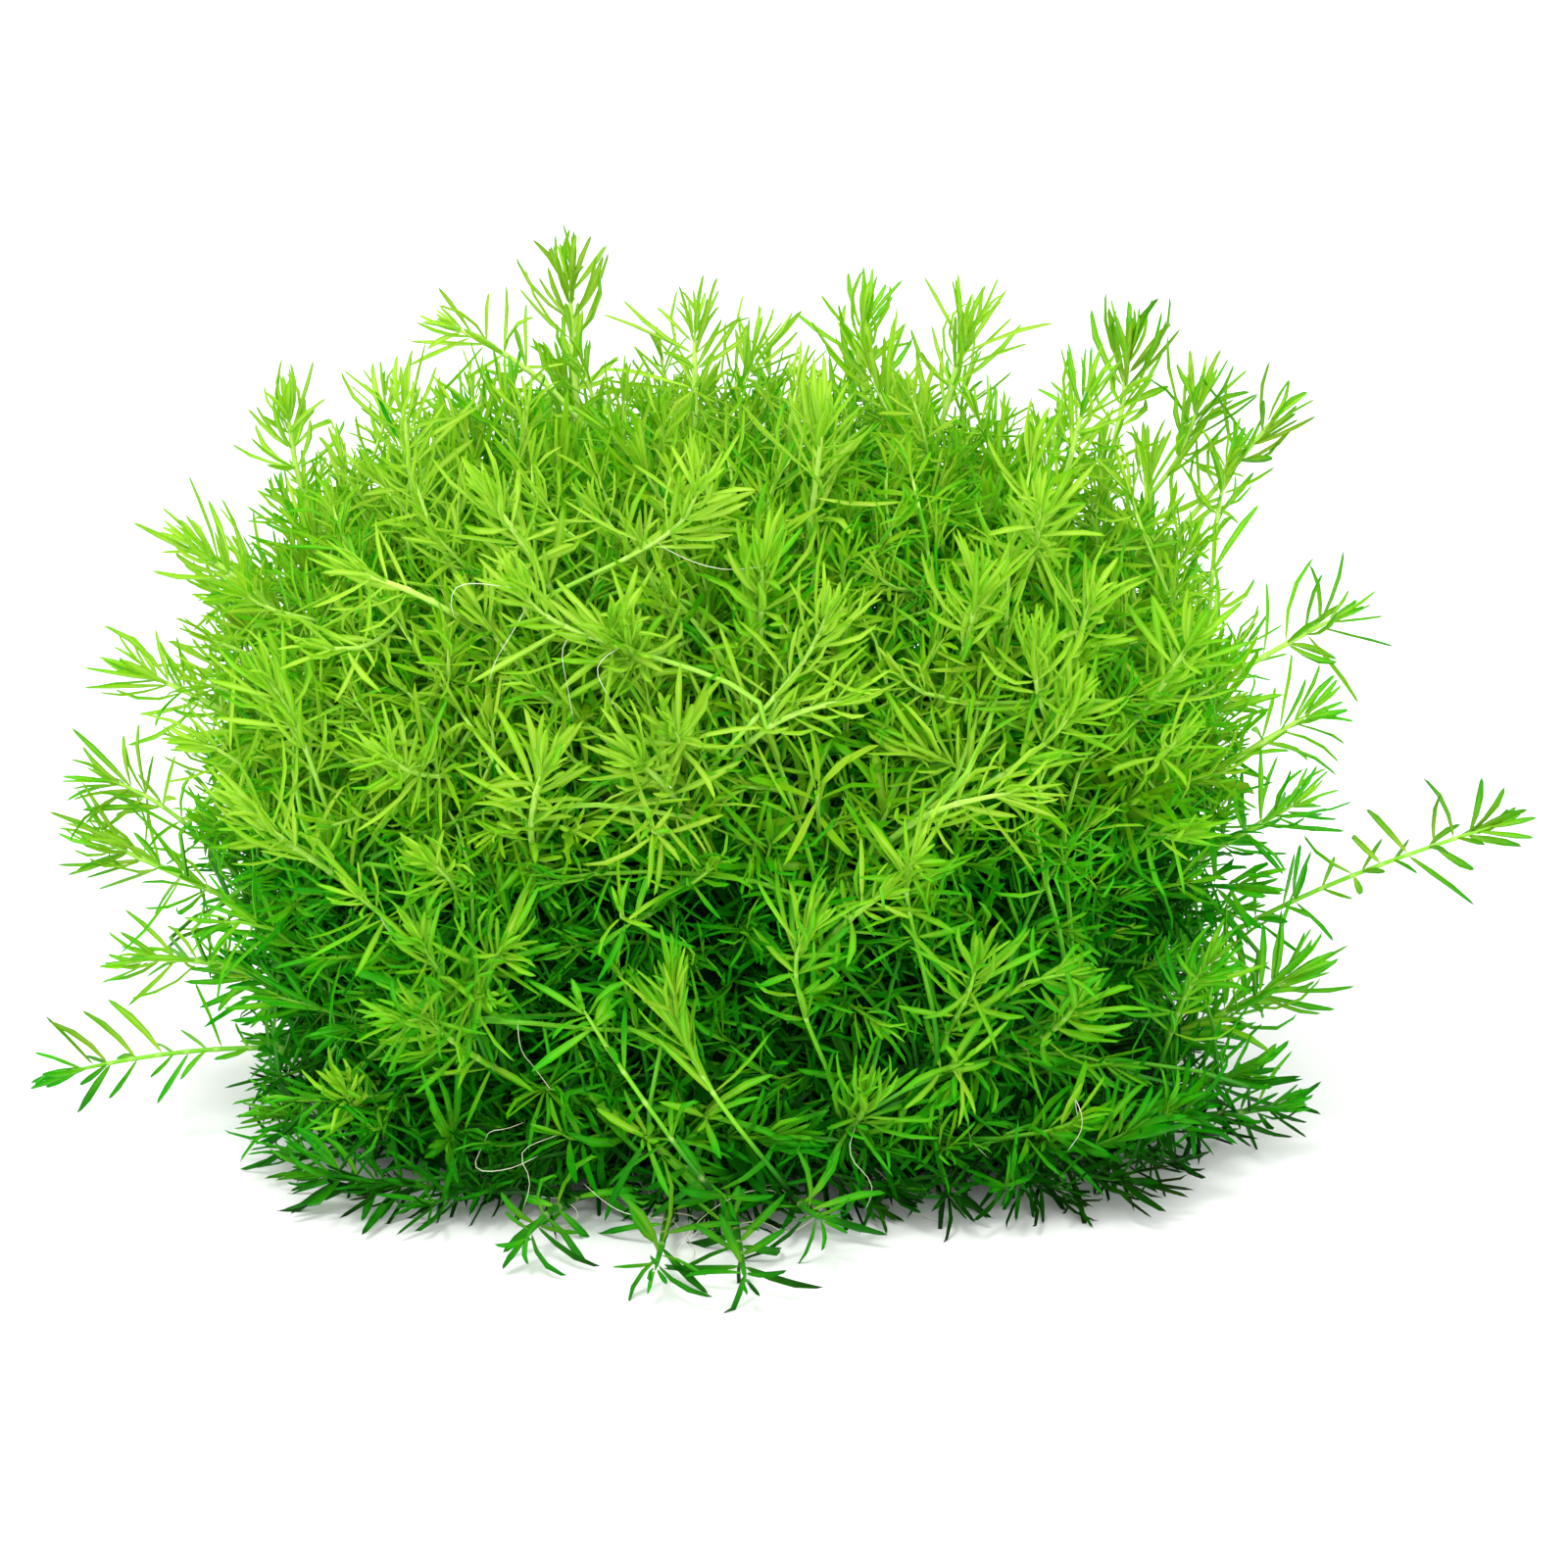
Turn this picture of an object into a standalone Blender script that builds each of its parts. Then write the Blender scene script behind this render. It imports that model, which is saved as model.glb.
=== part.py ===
"""Dwarf rotala: a clump of leafy stems, cut off flat where they left the ground.

Every stem is one solid with its leaves. The clump stands on its cut ends at height 0, with +Z up and
the side with the creeping sprigs towards -Y. Lengths in this file are millimetres until a mesh is made.
"""
import math

import bmesh
import bpy
import numpy as np
from mathutils import Matrix, Vector

MM = 0.001

# Stems and leaves
FOOT_RADIUS = 1.2
TIP_RADIUS = 0.75
LEAF_WIDTH = 2.1
LEAF_THICKNESS = 0.5
WHORL_HEIGHT = 1.5
LEAVES_AROUND = 4

# The clump: a rounded block of crowns over a smaller oval of cut ends
CLUMP_MIDDLE = np.array([-10.0, 10.0])
CLUMP_HALF = np.array([88.0, 62.0])
CLUMP_TOP = 128.0
CLUMP_WAIST = 58.0
CLUMP_BELOW = 80.0
ROUNDNESS = 2.6
FOOT_HALF = np.array([64.0, 46.0])
FAN = 1.3

# Room between neighbours
FOOT_SPACING = 9.0
STEM_SPACING = 3.4
LEAF_CLEARANCE = 2.35
SAMPLE = 1.5
STATIONS = 28

# Whorls of a crown: distance from the tip, lean away from the stem in degrees, leaf length
CROWN = ((6.0, 34, 12.5), (11.0, 54, 14.0), (17.5, 72, 13.0))
YOUNG_WHORL = (3.0, 20, 9.0)
# Whorls further back on the two runners
RUNNER_EXTRA = ((25.0, 78, 12.0), (33.0, 80, 11.0))

# How far inward a leaf of the oldest whorl may point: the cosine of its angle from straight out
SHED = -0.3
HEART_TO_TIP = 5.0

# Each shoot: the heart of its crown, and the way that it grows there
SHOOTS = {
    "top_shoot": (
        ((-35, 38, 130), (0.0, 0.1, 1.0)),
        ((-49, 24, 128), (-0.9, 0.0, 0.4)),
        ((-81, 26, 111), (-0.05, 0.0, 1.0)),
        ((-60, -5, 119), (0.0, -0.1, 1.0)),
        ((-14, 8, 129), (0.0, 0.0, 1.0)),
        ((13, 33, 125), (0.1, 0.1, 1.0)),
        ((29, 27, 124), (0.2, 0.0, 1.0)),
        ((57, 30, 120), (0.05, 0.1, 1.0)),
        ((78, 24, 111), (0.6, 0.0, 0.8)),
        ((6, -21, 121), (0.1, -0.2, 1.0)),
        ((-43, -31, 113), (-0.5, -0.2, 0.8)),
        ((48, 2, 120), (0.15, -0.1, 1.0)),
    ),
    "right_shoot": (
        ((86, 5, 84), (0.88, 0.0, 0.47)),
        ((82, 0, 69), (0.85, 0.0, 0.53)),
        ((80, -1, 54), (0.86, 0.0, 0.5)),
        ((80, -7, 26), (0.7, -0.1, 0.65)),
        ((77, -15, 8), (0.95, -0.1, 0.2)),
        ((63, -27, 89), (0.4, -0.3, 0.9)),
        ((46, -42, 35), (0.2, -0.5, 0.8)),
    ),
    "left_shoot": (
        ((-91, 5, 95), (-0.7, 0.0, 0.6)),
        ((-99, 1, 76), (-0.8, 0.0, 0.35)),
        ((-106, -5, 49), (-0.85, 0.0, 0.4)),
        ((-100, -7, 32), (-0.97, 0.0, -0.15)),
        ((-80, -36, 63), (-0.6, -0.3, 0.6)),
        ((-77, -19, 8), (-0.8, -0.35, 0.35)),
        ((-53, -47, 33), (-0.45, -0.4, 0.7)),
    ),
    "front_shoot": (
        ((-20, -51, 78), (-0.4, -0.6, 0.5)),
        ((5, -49, 88), (0.85, -0.3, 0.25)),
        ((-38, -50, 75), (0.3, -0.4, 0.8)),
        ((-3, -42, 105), (0.0, -0.3, 1.0)),
        ((-62, -34, 104), (-0.9, -0.1, 0.3)),
        ((30, -40, 101), (0.1, -0.4, 0.9)),
        ((31, -51, 74), (0.97, -0.1, 0.15)),
        ((13, -51, 56), (0.7, -0.4, 0.6)),
        ((-21, -47, 16), (-0.1, -0.9, 0.3)),
        ((13, -48, 20), (0.1, -0.5, 0.85)),
        ((27, -47, 28), (0.3, -0.8, 0.4)),
    ),
    "front_sprig": (
        ((-39, -59, 6), (-0.15, -0.95, -0.1)),
        ((-19, -70, 5), (-0.1, -0.97, -0.05)),
        ((-6, -74, 5), (0.1, -0.97, -0.05)),
        ((4, -56, 7), (0.5, -0.8, 0.0)),
    ),
}
# The hidden side follows a rule: its shoots by their bearing in degrees and the height of their tips
BACK_SHOOTS = ((35, 24), (70, 18), (107, 20), (142, 26), (48, 64), (88, 58), (127, 64), (62, 102), (118, 100))
RUNNERS = {
    "left_runner": ((-113, -10, 14), (-1.0, 0.0, -0.25), (-54, -8)),
    "right_runner": ((113, 0, 51), (0.96, 0.0, 0.32), (50, -2)),
}
RUNNER_REACH = 46.0
REACH_SHARE = 0.38
RISE_SHARE = 0.45


def unit(v):
    v = np.asarray(v, float)
    return v / np.linalg.norm(v)


def crown_surface(bearing, height):
    """The point of the clump's outer face at a bearing and a height."""
    span = CLUMP_TOP - CLUMP_WAIST if height > CLUMP_WAIST else CLUMP_BELOW
    level = 1 - abs((height - CLUMP_WAIST) / span) ** ROUNDNESS
    way = np.array([math.cos(math.radians(bearing)), math.sin(math.radians(bearing))])
    out = (level / (np.abs(way / CLUMP_HALF) ** ROUNDNESS).sum()) ** (1 / ROUNDNESS)
    return np.append(CLUMP_MIDDLE + way * out, height)


def foot_of(tip):
    """Where a stem is cut, so that the stems fan out: upright ones in the middle, leaning ones outside."""
    from_middle = (np.asarray(tip[:2]) - CLUMP_MIDDLE) / CLUMP_HALF
    out = np.linalg.norm(from_middle)
    share = (math.atan2(out, tip[2] / CLUMP_TOP) / (math.pi / 2)) ** FAN
    return CLUMP_MIDDLE + FOOT_HALF * from_middle / max(out, 1e-6) * share


def spread_feet(feet, held):
    """Moves the cut ends apart, on the ground, until each has its room."""
    for _ in range(80):
        away = feet[:, None] - feet[None]
        gap = np.linalg.norm(away, axis=2) + np.eye(len(feet)) * 1e3
        push = np.clip(FOOT_SPACING - gap, 0, None)[..., None] * away / gap[..., None]
        move = 0.5 * push.sum(axis=1)
        move[held] = 0
        feet = feet + move
        out = np.linalg.norm((feet - CLUMP_MIDDLE) / FOOT_HALF, axis=1)
        inside = CLUMP_MIDDLE + (feet - CLUMP_MIDDLE) / np.maximum(out, 1)[:, None]
        feet = np.where(held[:, None], feet, inside)
    return feet


def bezier(points, count):
    t = np.linspace(0, 1, count)[:, None]
    a, b, c, d = (np.asarray(p, float) for p in points)
    return (1 - t) ** 3 * a + 3 * (1 - t) ** 2 * t * b + 3 * (1 - t) * t ** 2 * c + t ** 3 * d


def evenly(path, count):
    """The same path with its points evenly spaced."""
    along = np.append(0, np.cumsum(np.linalg.norm(np.diff(path, axis=0), axis=1)))
    at = np.linspace(0, along[-1], count)
    return np.stack([np.interp(at, along, path[:, k]) for k in range(3)], axis=1)


def stem_path(foot, tip, heading, reach=None):
    """A stem's centreline: up from its cut end, then over to its tip."""
    foot = np.append(foot, 0.0)
    tip = np.asarray(tip, float)
    long = np.linalg.norm(tip - foot)
    reach = reach or REACH_SHARE * long
    before = tip - unit(heading) * reach
    before[2] = max(before[2], 6.0)
    rise = foot + np.array([0, 0, 1.0]) * RISE_SHARE * max(tip[2], before[2])
    return evenly(bezier((foot, rise, before, tip), 60), STATIONS)


def ease_apart(paths):
    """Bends the stems a little where two of them would touch. Feet and tips stay where they are."""
    paths = np.array(paths)
    n, k, _ = paths.shape
    owner = np.repeat(np.arange(n), k)
    free = np.ones(k)
    free[:2] = 0
    free[-3:] = 0
    for _ in range(60):
        flat = paths.reshape(-1, 3)
        move = np.zeros_like(flat)
        for i in range(n):
            own = owner == i
            away = flat[own][:, None] - flat[~own][None]
            gap = np.linalg.norm(away, axis=2)
            short = np.clip(STEM_SPACING - gap, 0, None)
            move[own] = (short[..., None] * away / np.maximum(gap, 0.05)[..., None]).sum(axis=1)
        move = move.reshape(paths.shape) * free[None, :, None]
        smooth = sum(np.roll(move, s, axis=1) * w for s, w in ((-2, 0.5), (-1, 0.8), (0, 1.0), (1, 0.8), (2, 0.5)))
        paths = paths + 0.35 * smooth * free[None, :, None]
    return [evenly(p, STATIONS) for p in paths]


class Stem:
    """A centreline with a frame at each point that doesn't twist."""

    def __init__(self, path):
        self.path = path
        self.along = np.append(0, np.cumsum(np.linalg.norm(np.diff(path, axis=0), axis=1)))
        self.length = self.along[-1]
        tangents = np.gradient(path, axis=0)
        tangents[0] = (0, 0, 1)
        self.tangents = tangents / np.linalg.norm(tangents, axis=1)[:, None]
        side = np.cross(self.tangents[-1], (0, 0, 1.0))
        side = unit(side) if np.linalg.norm(side) > 0.1 else np.array([0, 1.0, 0])
        sides = [side]
        for t in self.tangents[::-1][1:]:
            side = unit(side - t * (side @ t))
            sides.append(side)
        self.sides = np.array(sides[::-1])

    def at(self, distance):
        """Point, direction, side and the third axis at a distance from the foot."""
        d = min(max(distance, 0), self.length)
        p, t, s = (
            np.array([np.interp(d, self.along, v[:, k]) for k in range(3)])
            for v in (self.path, self.tangents, self.sides)
        )
        t = unit(t)
        s = unit(s - t * (s @ t))
        return p, t, s, np.cross(t, s)

    def radius(self, distance):
        return FOOT_RADIUS + (TIP_RADIUS - FOOT_RADIUS) * distance / self.length

    def matrix(self, distance):
        p, t, s, u = self.at(distance)
        scale = self.radius(distance)
        columns = (*(s * scale), 0), (*(u * scale), 0), (*t, 0), (*p, 1)
        return Matrix(columns).transposed()


class Room:
    """Points of the stems and leaves already there, to keep the next leaf clear of the others."""

    def __init__(self, stems):
        self.points = np.concatenate([evenly(s.path, int(s.length / SAMPLE) + 2) for s in stems])
        self.owner = np.concatenate([[i] * (int(s.length / SAMPLE) + 2) for i, s in enumerate(stems)])

    def is_free(self, owner, leaf):
        others = self.points[self.owner != owner]
        near = others[np.abs(others - leaf[1]).max(axis=1) < 20]
        if len(near) == 0:
            return True
        gap = np.linalg.norm(leaf_samples(leaf)[:, None] - near[None], axis=2)
        return gap.min() > LEAF_CLEARANCE

    def add(self, owner, leaf):
        line = leaf_samples(leaf)
        self.points = np.concatenate([self.points, line])
        self.owner = np.concatenate([self.owner, [owner] * len(line)])


def leaf_samples(leaf):
    return evenly(np.array(leaf), 11)


def leaf_line(stem, distance, around, lean, length):
    """Root, middle and tip of a leaf, kept above the ground."""
    p, t, s, u = stem.at(distance)
    out = math.cos(around) * s + math.sin(around) * u
    way = math.cos(lean) * t + math.sin(lean) * out
    root = p + out * stem.radius(distance) * 0.7
    middle = p + way * length * 0.5
    tip = middle + unit(way + 0.2 * t) * length * 0.5
    middle[2] = max(middle[2], LEAF_THICKNESS + 0.3)
    tip[2] = max(tip[2], 0.2)
    return root, middle, tip


def clear_leaf(room, owner, stem, distance, around, lean, length):
    """A leaf turned or shortened until it clears its neighbours, or None where there is no room."""
    for share in (1.0, 0.8, 0.6):
        for turn in (0, -14, 14, -28, 28):
            leaf = leaf_line(stem, distance, around + math.radians(turn), lean, length * share)
            if room.is_free(owner, leaf):
                room.add(owner, leaf)
                return leaf
    return None


def next_ring(bm, cap, old, new):
    """Extrudes the stem's end face to the next ring and gives it with the facets between."""
    end = bmesh.ops.extrude_discrete_faces(bm, faces=[cap])["faces"][0]
    step = new @ old.inverted()
    for v in end.verts:
        v.co = step @ v.co
    facets = [f for e in end.edges for f in e.link_faces if f is not end]
    return end, facets


def facet_angle(facet, stem, distance):
    p, _, s, u = stem.at(distance)
    out = np.array(facet.calc_center_median()) - p
    return math.atan2(out @ u, out @ s)


def grow_leaf(bm, facet, leaf):
    """Draws a facet of the stem out to a flat blade with a point."""
    root, middle, tip = leaf
    way = Vector(tip - root).normalized()
    centre = facet.calc_center_median()
    around = [v.co - centre for v in facet.verts]
    along = (Vector(facet.verts[0].co) - Vector(facet.verts[1].co)).normalized()
    other = (Vector(facet.verts[1].co) - Vector(facet.verts[2].co)).normalized()
    flat = along if abs(along.dot(way)) < abs(other.dot(way)) else other
    flat = (flat - way * flat.dot(way)).normalized()
    thick = way.cross(flat)
    end = bmesh.ops.extrude_discrete_faces(bm, faces=[facet])["faces"][0]
    for v, offset in zip(end.verts, around):
        right = math.copysign(LEAF_WIDTH / 2, offset.dot(flat))
        up = math.copysign(LEAF_THICKNESS / 2, offset.dot(thick))
        v.co = Vector(middle) + flat * right + thick * up
        v.co.z = max(v.co.z, 0)
    bmesh.ops.poke(bm, faces=[end])["verts"][0].co = Vector(tip)


def grow_needle(bm, facet, leaf):
    """Draws a facet out to a young leaf, which is still a needle."""
    bmesh.ops.poke(bm, faces=[facet])["verts"][0].co = Vector(leaf[2])


def whorls_of(name, length):
    whorls = CROWN + (RUNNER_EXTRA if "runner" in name else ())
    return [w for w in whorls if w[0] < length - 8]


def faces_inward(stem, distance, turn):
    """Whether a leaf would point into the dark middle of the clump, where leaves are shed."""
    p, _, s, u = stem.at(distance)
    outward = unit(np.append((p[:2] - CLUMP_MIDDLE) / CLUMP_HALF, 0.3))
    return (math.cos(turn) * s + math.sin(turn) * u) @ outward < SHED


def leaf_plan(name, stem):
    """Every leaf that the shoot would have: its whorl, turn around the stem, lean and length."""
    plan = []
    for n, (back, lean, length) in enumerate(whorls_of(name, stem.length)):
        for k in range(LEAVES_AROUND):
            turn = math.radians(90 * k + 45 + (22 if n % 2 else -22))
            if back == CROWN[-1][0] and faces_inward(stem, stem.length - back, turn):
                continue
            plan.append((back, turn, math.radians(lean), length))
    back, lean, length = YOUNG_WHORL
    for k in range(LEAVES_AROUND):
        plan.append((back, math.radians(90 * k + 45 - 22), math.radians(lean), length))
    return plan


def build_shoot(name, index, stem, room):
    """One closed mesh: a four-sided stem that grows ring by ring, with leaves drawn out of its facets."""
    leaves = {}
    for back, turn, lean, length in leaf_plan(name, stem):
        leaf = clear_leaf(room, index, stem, stem.length - back, turn, lean, length)
        if leaf is not None:
            leaves.setdefault(back, []).append((turn, leaf))
    whorls = sorted((w[0] for w in whorls_of(name, stem.length)), reverse=True)
    bare = stem.length - whorls[0] - WHORL_HEIGHT / 2
    bends = 2 if bare > 45 else 1
    stops = [(bare * k / (bends + 1), None) for k in range(1, bends + 1)]
    for back in whorls:
        start = stem.length - back - WHORL_HEIGHT / 2
        stops += [(start, None), (start + WHORL_HEIGHT, back)]
    stops.append((stem.length - YOUNG_WHORL[0] + 1.2, YOUNG_WHORL[0]))

    bm = bmesh.new()
    old, first = stem.matrix(0), stem.matrix(stops[0][0])
    bmesh.ops.create_cone(bm, cap_ends=True, segments=LEAVES_AROUND, radius1=1, radius2=1, depth=2)
    cap = max(bm.faces, key=lambda f: f.calc_center_median().z)
    for v in bm.verts:
        end = first if v in cap.verts else old
        v.co = end @ Vector((v.co.x, v.co.y, 0))
    old = first
    grown = []
    previous = stops[0][0]
    for distance, whorl in stops[1:]:
        new = stem.matrix(distance)
        cap, facets = next_ring(bm, cap, old, new)
        if whorl is not None:
            grown += [(f, whorl, facet_angle(f, stem, (previous + distance) / 2)) for f in facets]
        old, previous = new, distance
    bmesh.ops.poke(bm, faces=[cap])["verts"][0].co = Vector(stem.at(stem.length)[0])
    for facet, whorl, angle in grown:
        near = [(abs(math.remainder(turn - angle, 2 * math.pi)), k) for k, (turn, _) in enumerate(leaves.get(whorl, []))]
        if not near or min(near)[0] > math.radians(46):
            continue
        leaf = leaves[whorl].pop(min(near)[1])[1]
        (grow_needle if whorl == YOUNG_WHORL[0] else grow_leaf)(bm, facet, leaf)
    bmesh.ops.scale(bm, vec=(MM, MM, MM), verts=bm.verts)
    mesh = bpy.data.meshes.new(name)
    bm.to_mesh(mesh)
    bm.free()
    return bpy.data.objects.new(name, mesh)


def leaf_material(name, height):
    """Green that turns lighter and yellower with height, as the upper leaves get more light."""
    share = min(max(height / CLUMP_TOP, 0), 1)
    material = bpy.data.materials.new(name + "_green")
    material.use_nodes = True
    shader = material.node_tree.nodes["Principled BSDF"]
    low, high = np.array([0.03, 0.28, 0.012]), np.array([0.30, 0.62, 0.03])
    shader.inputs["Base Color"].default_value = (*(low + (high - low) * share), 1)
    shader.inputs["Roughness"].default_value = 0.42
    shader.inputs["Metallic"].default_value = 0.0
    material.diffuse_color = (*(low + (high - low) * share), 1)
    return material


def all_shoots():
    """Name, tip, heading, foot if it is set, and reach of every shoot."""
    shoots = []
    for name, group in SHOOTS.items():
        for k, (heart, heading) in enumerate(group, 1):
            shoots.append((f"{name}_{k}", heart, heading, None, None))
    for k, (bearing, height) in enumerate(BACK_SHOOTS, 1):
        heart = crown_surface(bearing, height)
        out = np.append(unit(heart[:2] - CLUMP_MIDDLE), 0.35 + height / CLUMP_TOP)
        shoots.append((f"back_shoot_{k}", heart, out, None, None))
    for name, (heart, heading, foot) in RUNNERS.items():
        shoots.append((name, heart, heading, np.array(foot, float), RUNNER_REACH))
    tips = [np.asarray(s[1]) + unit(s[2]) * HEART_TO_TIP for s in shoots]
    return [(s[0], tip, *s[2:]) for s, tip in zip(shoots, tips)]


def main():
    for o in list(bpy.data.objects):
        bpy.data.objects.remove(o, do_unlink=True)
    collection = bpy.data.collections.new("dwarf_rotala")
    bpy.context.scene.collection.children.link(collection)
    shoots = all_shoots()
    held = np.array([s[3] is not None for s in shoots])
    feet = np.array([foot_of(s[1]) if s[3] is None else s[3] for s in shoots])
    feet = spread_feet(feet, held)
    paths = ease_apart([stem_path(f, s[1], s[2], s[4]) for f, s in zip(feet, shoots)])
    stems = [Stem(p) for p in paths]
    room = Room(stems)
    for index, (shoot, stem) in enumerate(zip(shoots, stems)):
        o = build_shoot(shoot[0], index, stem, room)
        o.data.materials.append(leaf_material(shoot[0], shoot[1][2]))
        collection.objects.link(o)


main()
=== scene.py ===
"""Looks of a dwarf rotala clump: its stems, side shoots, leaves and thread roots.

Each packed stem is replaced by one piece that follows the same centreline, carries the side shoots that
branch off it, and has every leaf as a closed folded blade. Lengths are millimetres until a mesh is made.
"""

from math import acos, atan2, ceil, cos, exp, pi, radians, sin, sqrt
from types import SimpleNamespace

import bpy
import numpy as np
from numpy.linalg import norm
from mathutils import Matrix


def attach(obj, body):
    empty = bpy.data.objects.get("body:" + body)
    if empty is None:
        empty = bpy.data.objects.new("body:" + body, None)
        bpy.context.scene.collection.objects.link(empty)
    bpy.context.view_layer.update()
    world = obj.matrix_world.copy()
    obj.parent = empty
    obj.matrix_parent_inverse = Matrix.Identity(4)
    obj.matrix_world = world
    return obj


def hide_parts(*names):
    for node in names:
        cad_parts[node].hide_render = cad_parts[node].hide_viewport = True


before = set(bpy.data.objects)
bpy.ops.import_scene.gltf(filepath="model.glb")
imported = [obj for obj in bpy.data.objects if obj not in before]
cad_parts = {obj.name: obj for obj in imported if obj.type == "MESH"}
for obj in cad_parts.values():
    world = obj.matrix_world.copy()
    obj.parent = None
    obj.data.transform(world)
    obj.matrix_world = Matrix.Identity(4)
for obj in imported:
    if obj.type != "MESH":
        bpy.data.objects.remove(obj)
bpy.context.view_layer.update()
MM = 0.001
RANDOM = np.random.default_rng(23)
# Draws around a middle with a spread, and evenly between two ends
draw, between = RANDOM.normal, RANDOM.uniform

# The photograph's frame is 256 mm wide at the plant's middle, seen 18 degrees from above; metres
VIEW_ELEVATION = radians(18)
VIEW_DISTANCE = 1.0
VIEW_TARGET = np.array([0.0004, 0.0, 0.0594])
VIEW_HALF_WIDTH = 0.128
SENSOR_WIDTH = 36
# The studio: the light all around, and lamps with their place and size in metres and their power
SKY_STRENGTH = 1.36
LAMPS = (
    ("key", (-0.35, -0.55, 1.15), 0.35, 8.0),
    ("front", (0.3, -1.3, 0.7), 0.9, 6.0),
)
LAMP_AIM = np.array([0, 0, 0.06])
FLOOR_SIZE = 12

# The clump, with the same driving dimensions as the solids
CLUMP_MIDDLE = np.array([-10.0, 10.0])
CLUMP_HALF = np.array([88.0, 62.0])
CLUMP_TOP = 128.0
CLUMP_WAIST = 58.0
CLUMP_BELOW = 80.0
ROUNDNESS = 2.6
FOOT_HALF = np.array([64.0, 46.0])
FAN = 1.3
FOOT_SPACING = 9.0
STEM_SPACING = 3.4
STATIONS = 28
HEART_TO_TIP = 5.0
FOOT_RADIUS = 1.2
TIP_RADIUS = 0.75
RUNNER_REACH = 46.0
REACH_SHARE = 0.38
RISE_SHARE = 0.45
# Stems are pushed apart in rounds: the rounds for feet and paths, and how a push on one point of a path
# spreads to its neighbours
FEET_ROUNDS = 80
PATH_ROUNDS = 60
EASING = ((-2, 0.5), (-1, 0.8), (0, 1.0), (1, 0.8), (2, 0.5))
# Stems are slimmer than their solids: radii at the foot and the tip
STEM_RADII = (FOOT_RADIUS * 0.76, TIP_RADIUS * 0.56)
RUNNER_RADII = (0.54, 0.34)
# What a runner adds to the painted light
RUNNER_BRIGHT = 0.12
# Side shoots: radii of those seen in the photograph and of the others, and how they narrow
SEEN_RADIUS = 0.46
FILL_RADIUS = 0.42
SHOOT_TAPER = 0.75

# Each main shoot: the heart of its crown, the way that it grows there, its habit and what it adds to the
# painted light
SHOOTS = {
    "top_shoot": (
        ((-35, 38, 130), (0, 0.1, 1), "crown", 0), ((-49, 24, 128), (-0.9, 0, 0.4), "long", 0.05),
        ((-81, 26, 111), (-0.05, 0, 1), "crown", 0), ((-60, -5, 119), (0, -0.1, 1), "crown", 0),
        ((-14, 8, 129), (0, 0, 1), "crown", 0), ((13, 33, 125), (0.1, 0.1, 1), "crown", 0),
        ((29, 27, 124), (0.2, 0, 1), "brush", 0.06), ((57, 30, 120), (0.05, 0.1, 1), "brush", 0.05),
        ((78, 24, 111), (0.6, 0, 0.8), "long", 0), ((6, -21, 121), (0.1, -0.2, 1), "brush", 0.1),
        ((-43, -31, 113), (-0.5, -0.2, 0.8), "crown", 0.1), ((48, 2, 120), (0.15, -0.1, 1), "crown", 0),
    ),
    "right_shoot": (
        ((86, 5, 84), (0.88, 0, 0.47), "long", 0), ((82, 0, 69), (0.85, 0, 0.53), "long", 0),
        ((80, -1, 54), (0.86, 0, 0.5), "crown", 0), ((80, -7, 26), (0.7, -0.1, 0.65), "brush", 0.1),
        ((77, -15, 8), (0.95, -0.1, 0.2), "crown", 0.1), ((63, -27, 89), (0.4, -0.3, 0.9), "crown", 0.1),
        ((46, -42, 35), (0.2, -0.5, 0.8), "crown", 0.13),
    ),
    "left_shoot": (
        ((-91, 5, 95), (-0.7, 0, 0.6), "crown", 0), ((-99, 1, 76), (-0.8, 0, 0.35), "crown", 0),
        ((-106, -5, 49), (-0.85, 0, 0.4), "crown", 0.1), ((-100, -7, 32), (-0.97, 0, -0.15), "long", 0.14),
        ((-80, -36, 63), (-0.6, -0.3, 0.6), "brush", 0.14),
        ((-77, -19, 8), (-0.8, -0.35, 0.35), "crown", 0.05),
        ((-53, -47, 33), (-0.45, -0.4, 0.7), "crown", 0.13),
    ),
    "front_shoot": (
        ((-20, -51, 78), (-0.4, -0.6, 0.5), "brush", 0.17),
        ((5, -49, 88), (0.85, -0.3, 0.25), "long", 0.14), ((-38, -50, 75), (0.3, -0.4, 0.8), "brush", 0.1),
        ((-3, -42, 105), (0, -0.3, 1), "brush", -0.1), ((-62, -34, 104), (-0.9, -0.1, 0.3), "long", 0.06),
        ((30, -40, 101), (0.1, -0.4, 0.9), "brush", -0.05),
        ((31, -51, 74), (0.97, -0.1, 0.15), "long", 0.1), ((13, -51, 56), (0.7, -0.4, 0.6), "long", 0.14),
        ((-21, -47, 16), (-0.1, -0.9, 0.3), "star", 0.2), ((13, -48, 20), (0.1, -0.5, 0.85), "brush", 0.08),
        ((27, -47, 28), (0.3, -0.8, 0.4), "star", 0.2),
    ),
    "front_sprig": (
        ((-39, -59, 6), (-0.15, -0.95, -0.1), "star", 0.22),
        ((-19, -70, 5), (-0.1, -0.97, -0.05), "star", 0.26),
        ((-6, -74, 5), (0.1, -0.97, -0.05), "star", 0.16), ((4, -56, 7), (0.5, -0.8, 0), "star", 0.18),
    ),
}
# The back's shoots: bearing in degrees and height
BACK_SHOOTS = (
    (35, 24), (70, 18), (107, 20), (142, 26), (48, 64), (88, 58), (127, 64), (62, 102), (118, 100),
)
# The runners: heart, the way that it grows there, and the cut end
RUNNERS = {
    "left_runner": ((-113, -10, 14), (-1, 0, -0.25), (-54, -8)),
    "right_runner": ((113, 0, 51), (0.96, 0, 0.32), (50, -2)),
}

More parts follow.
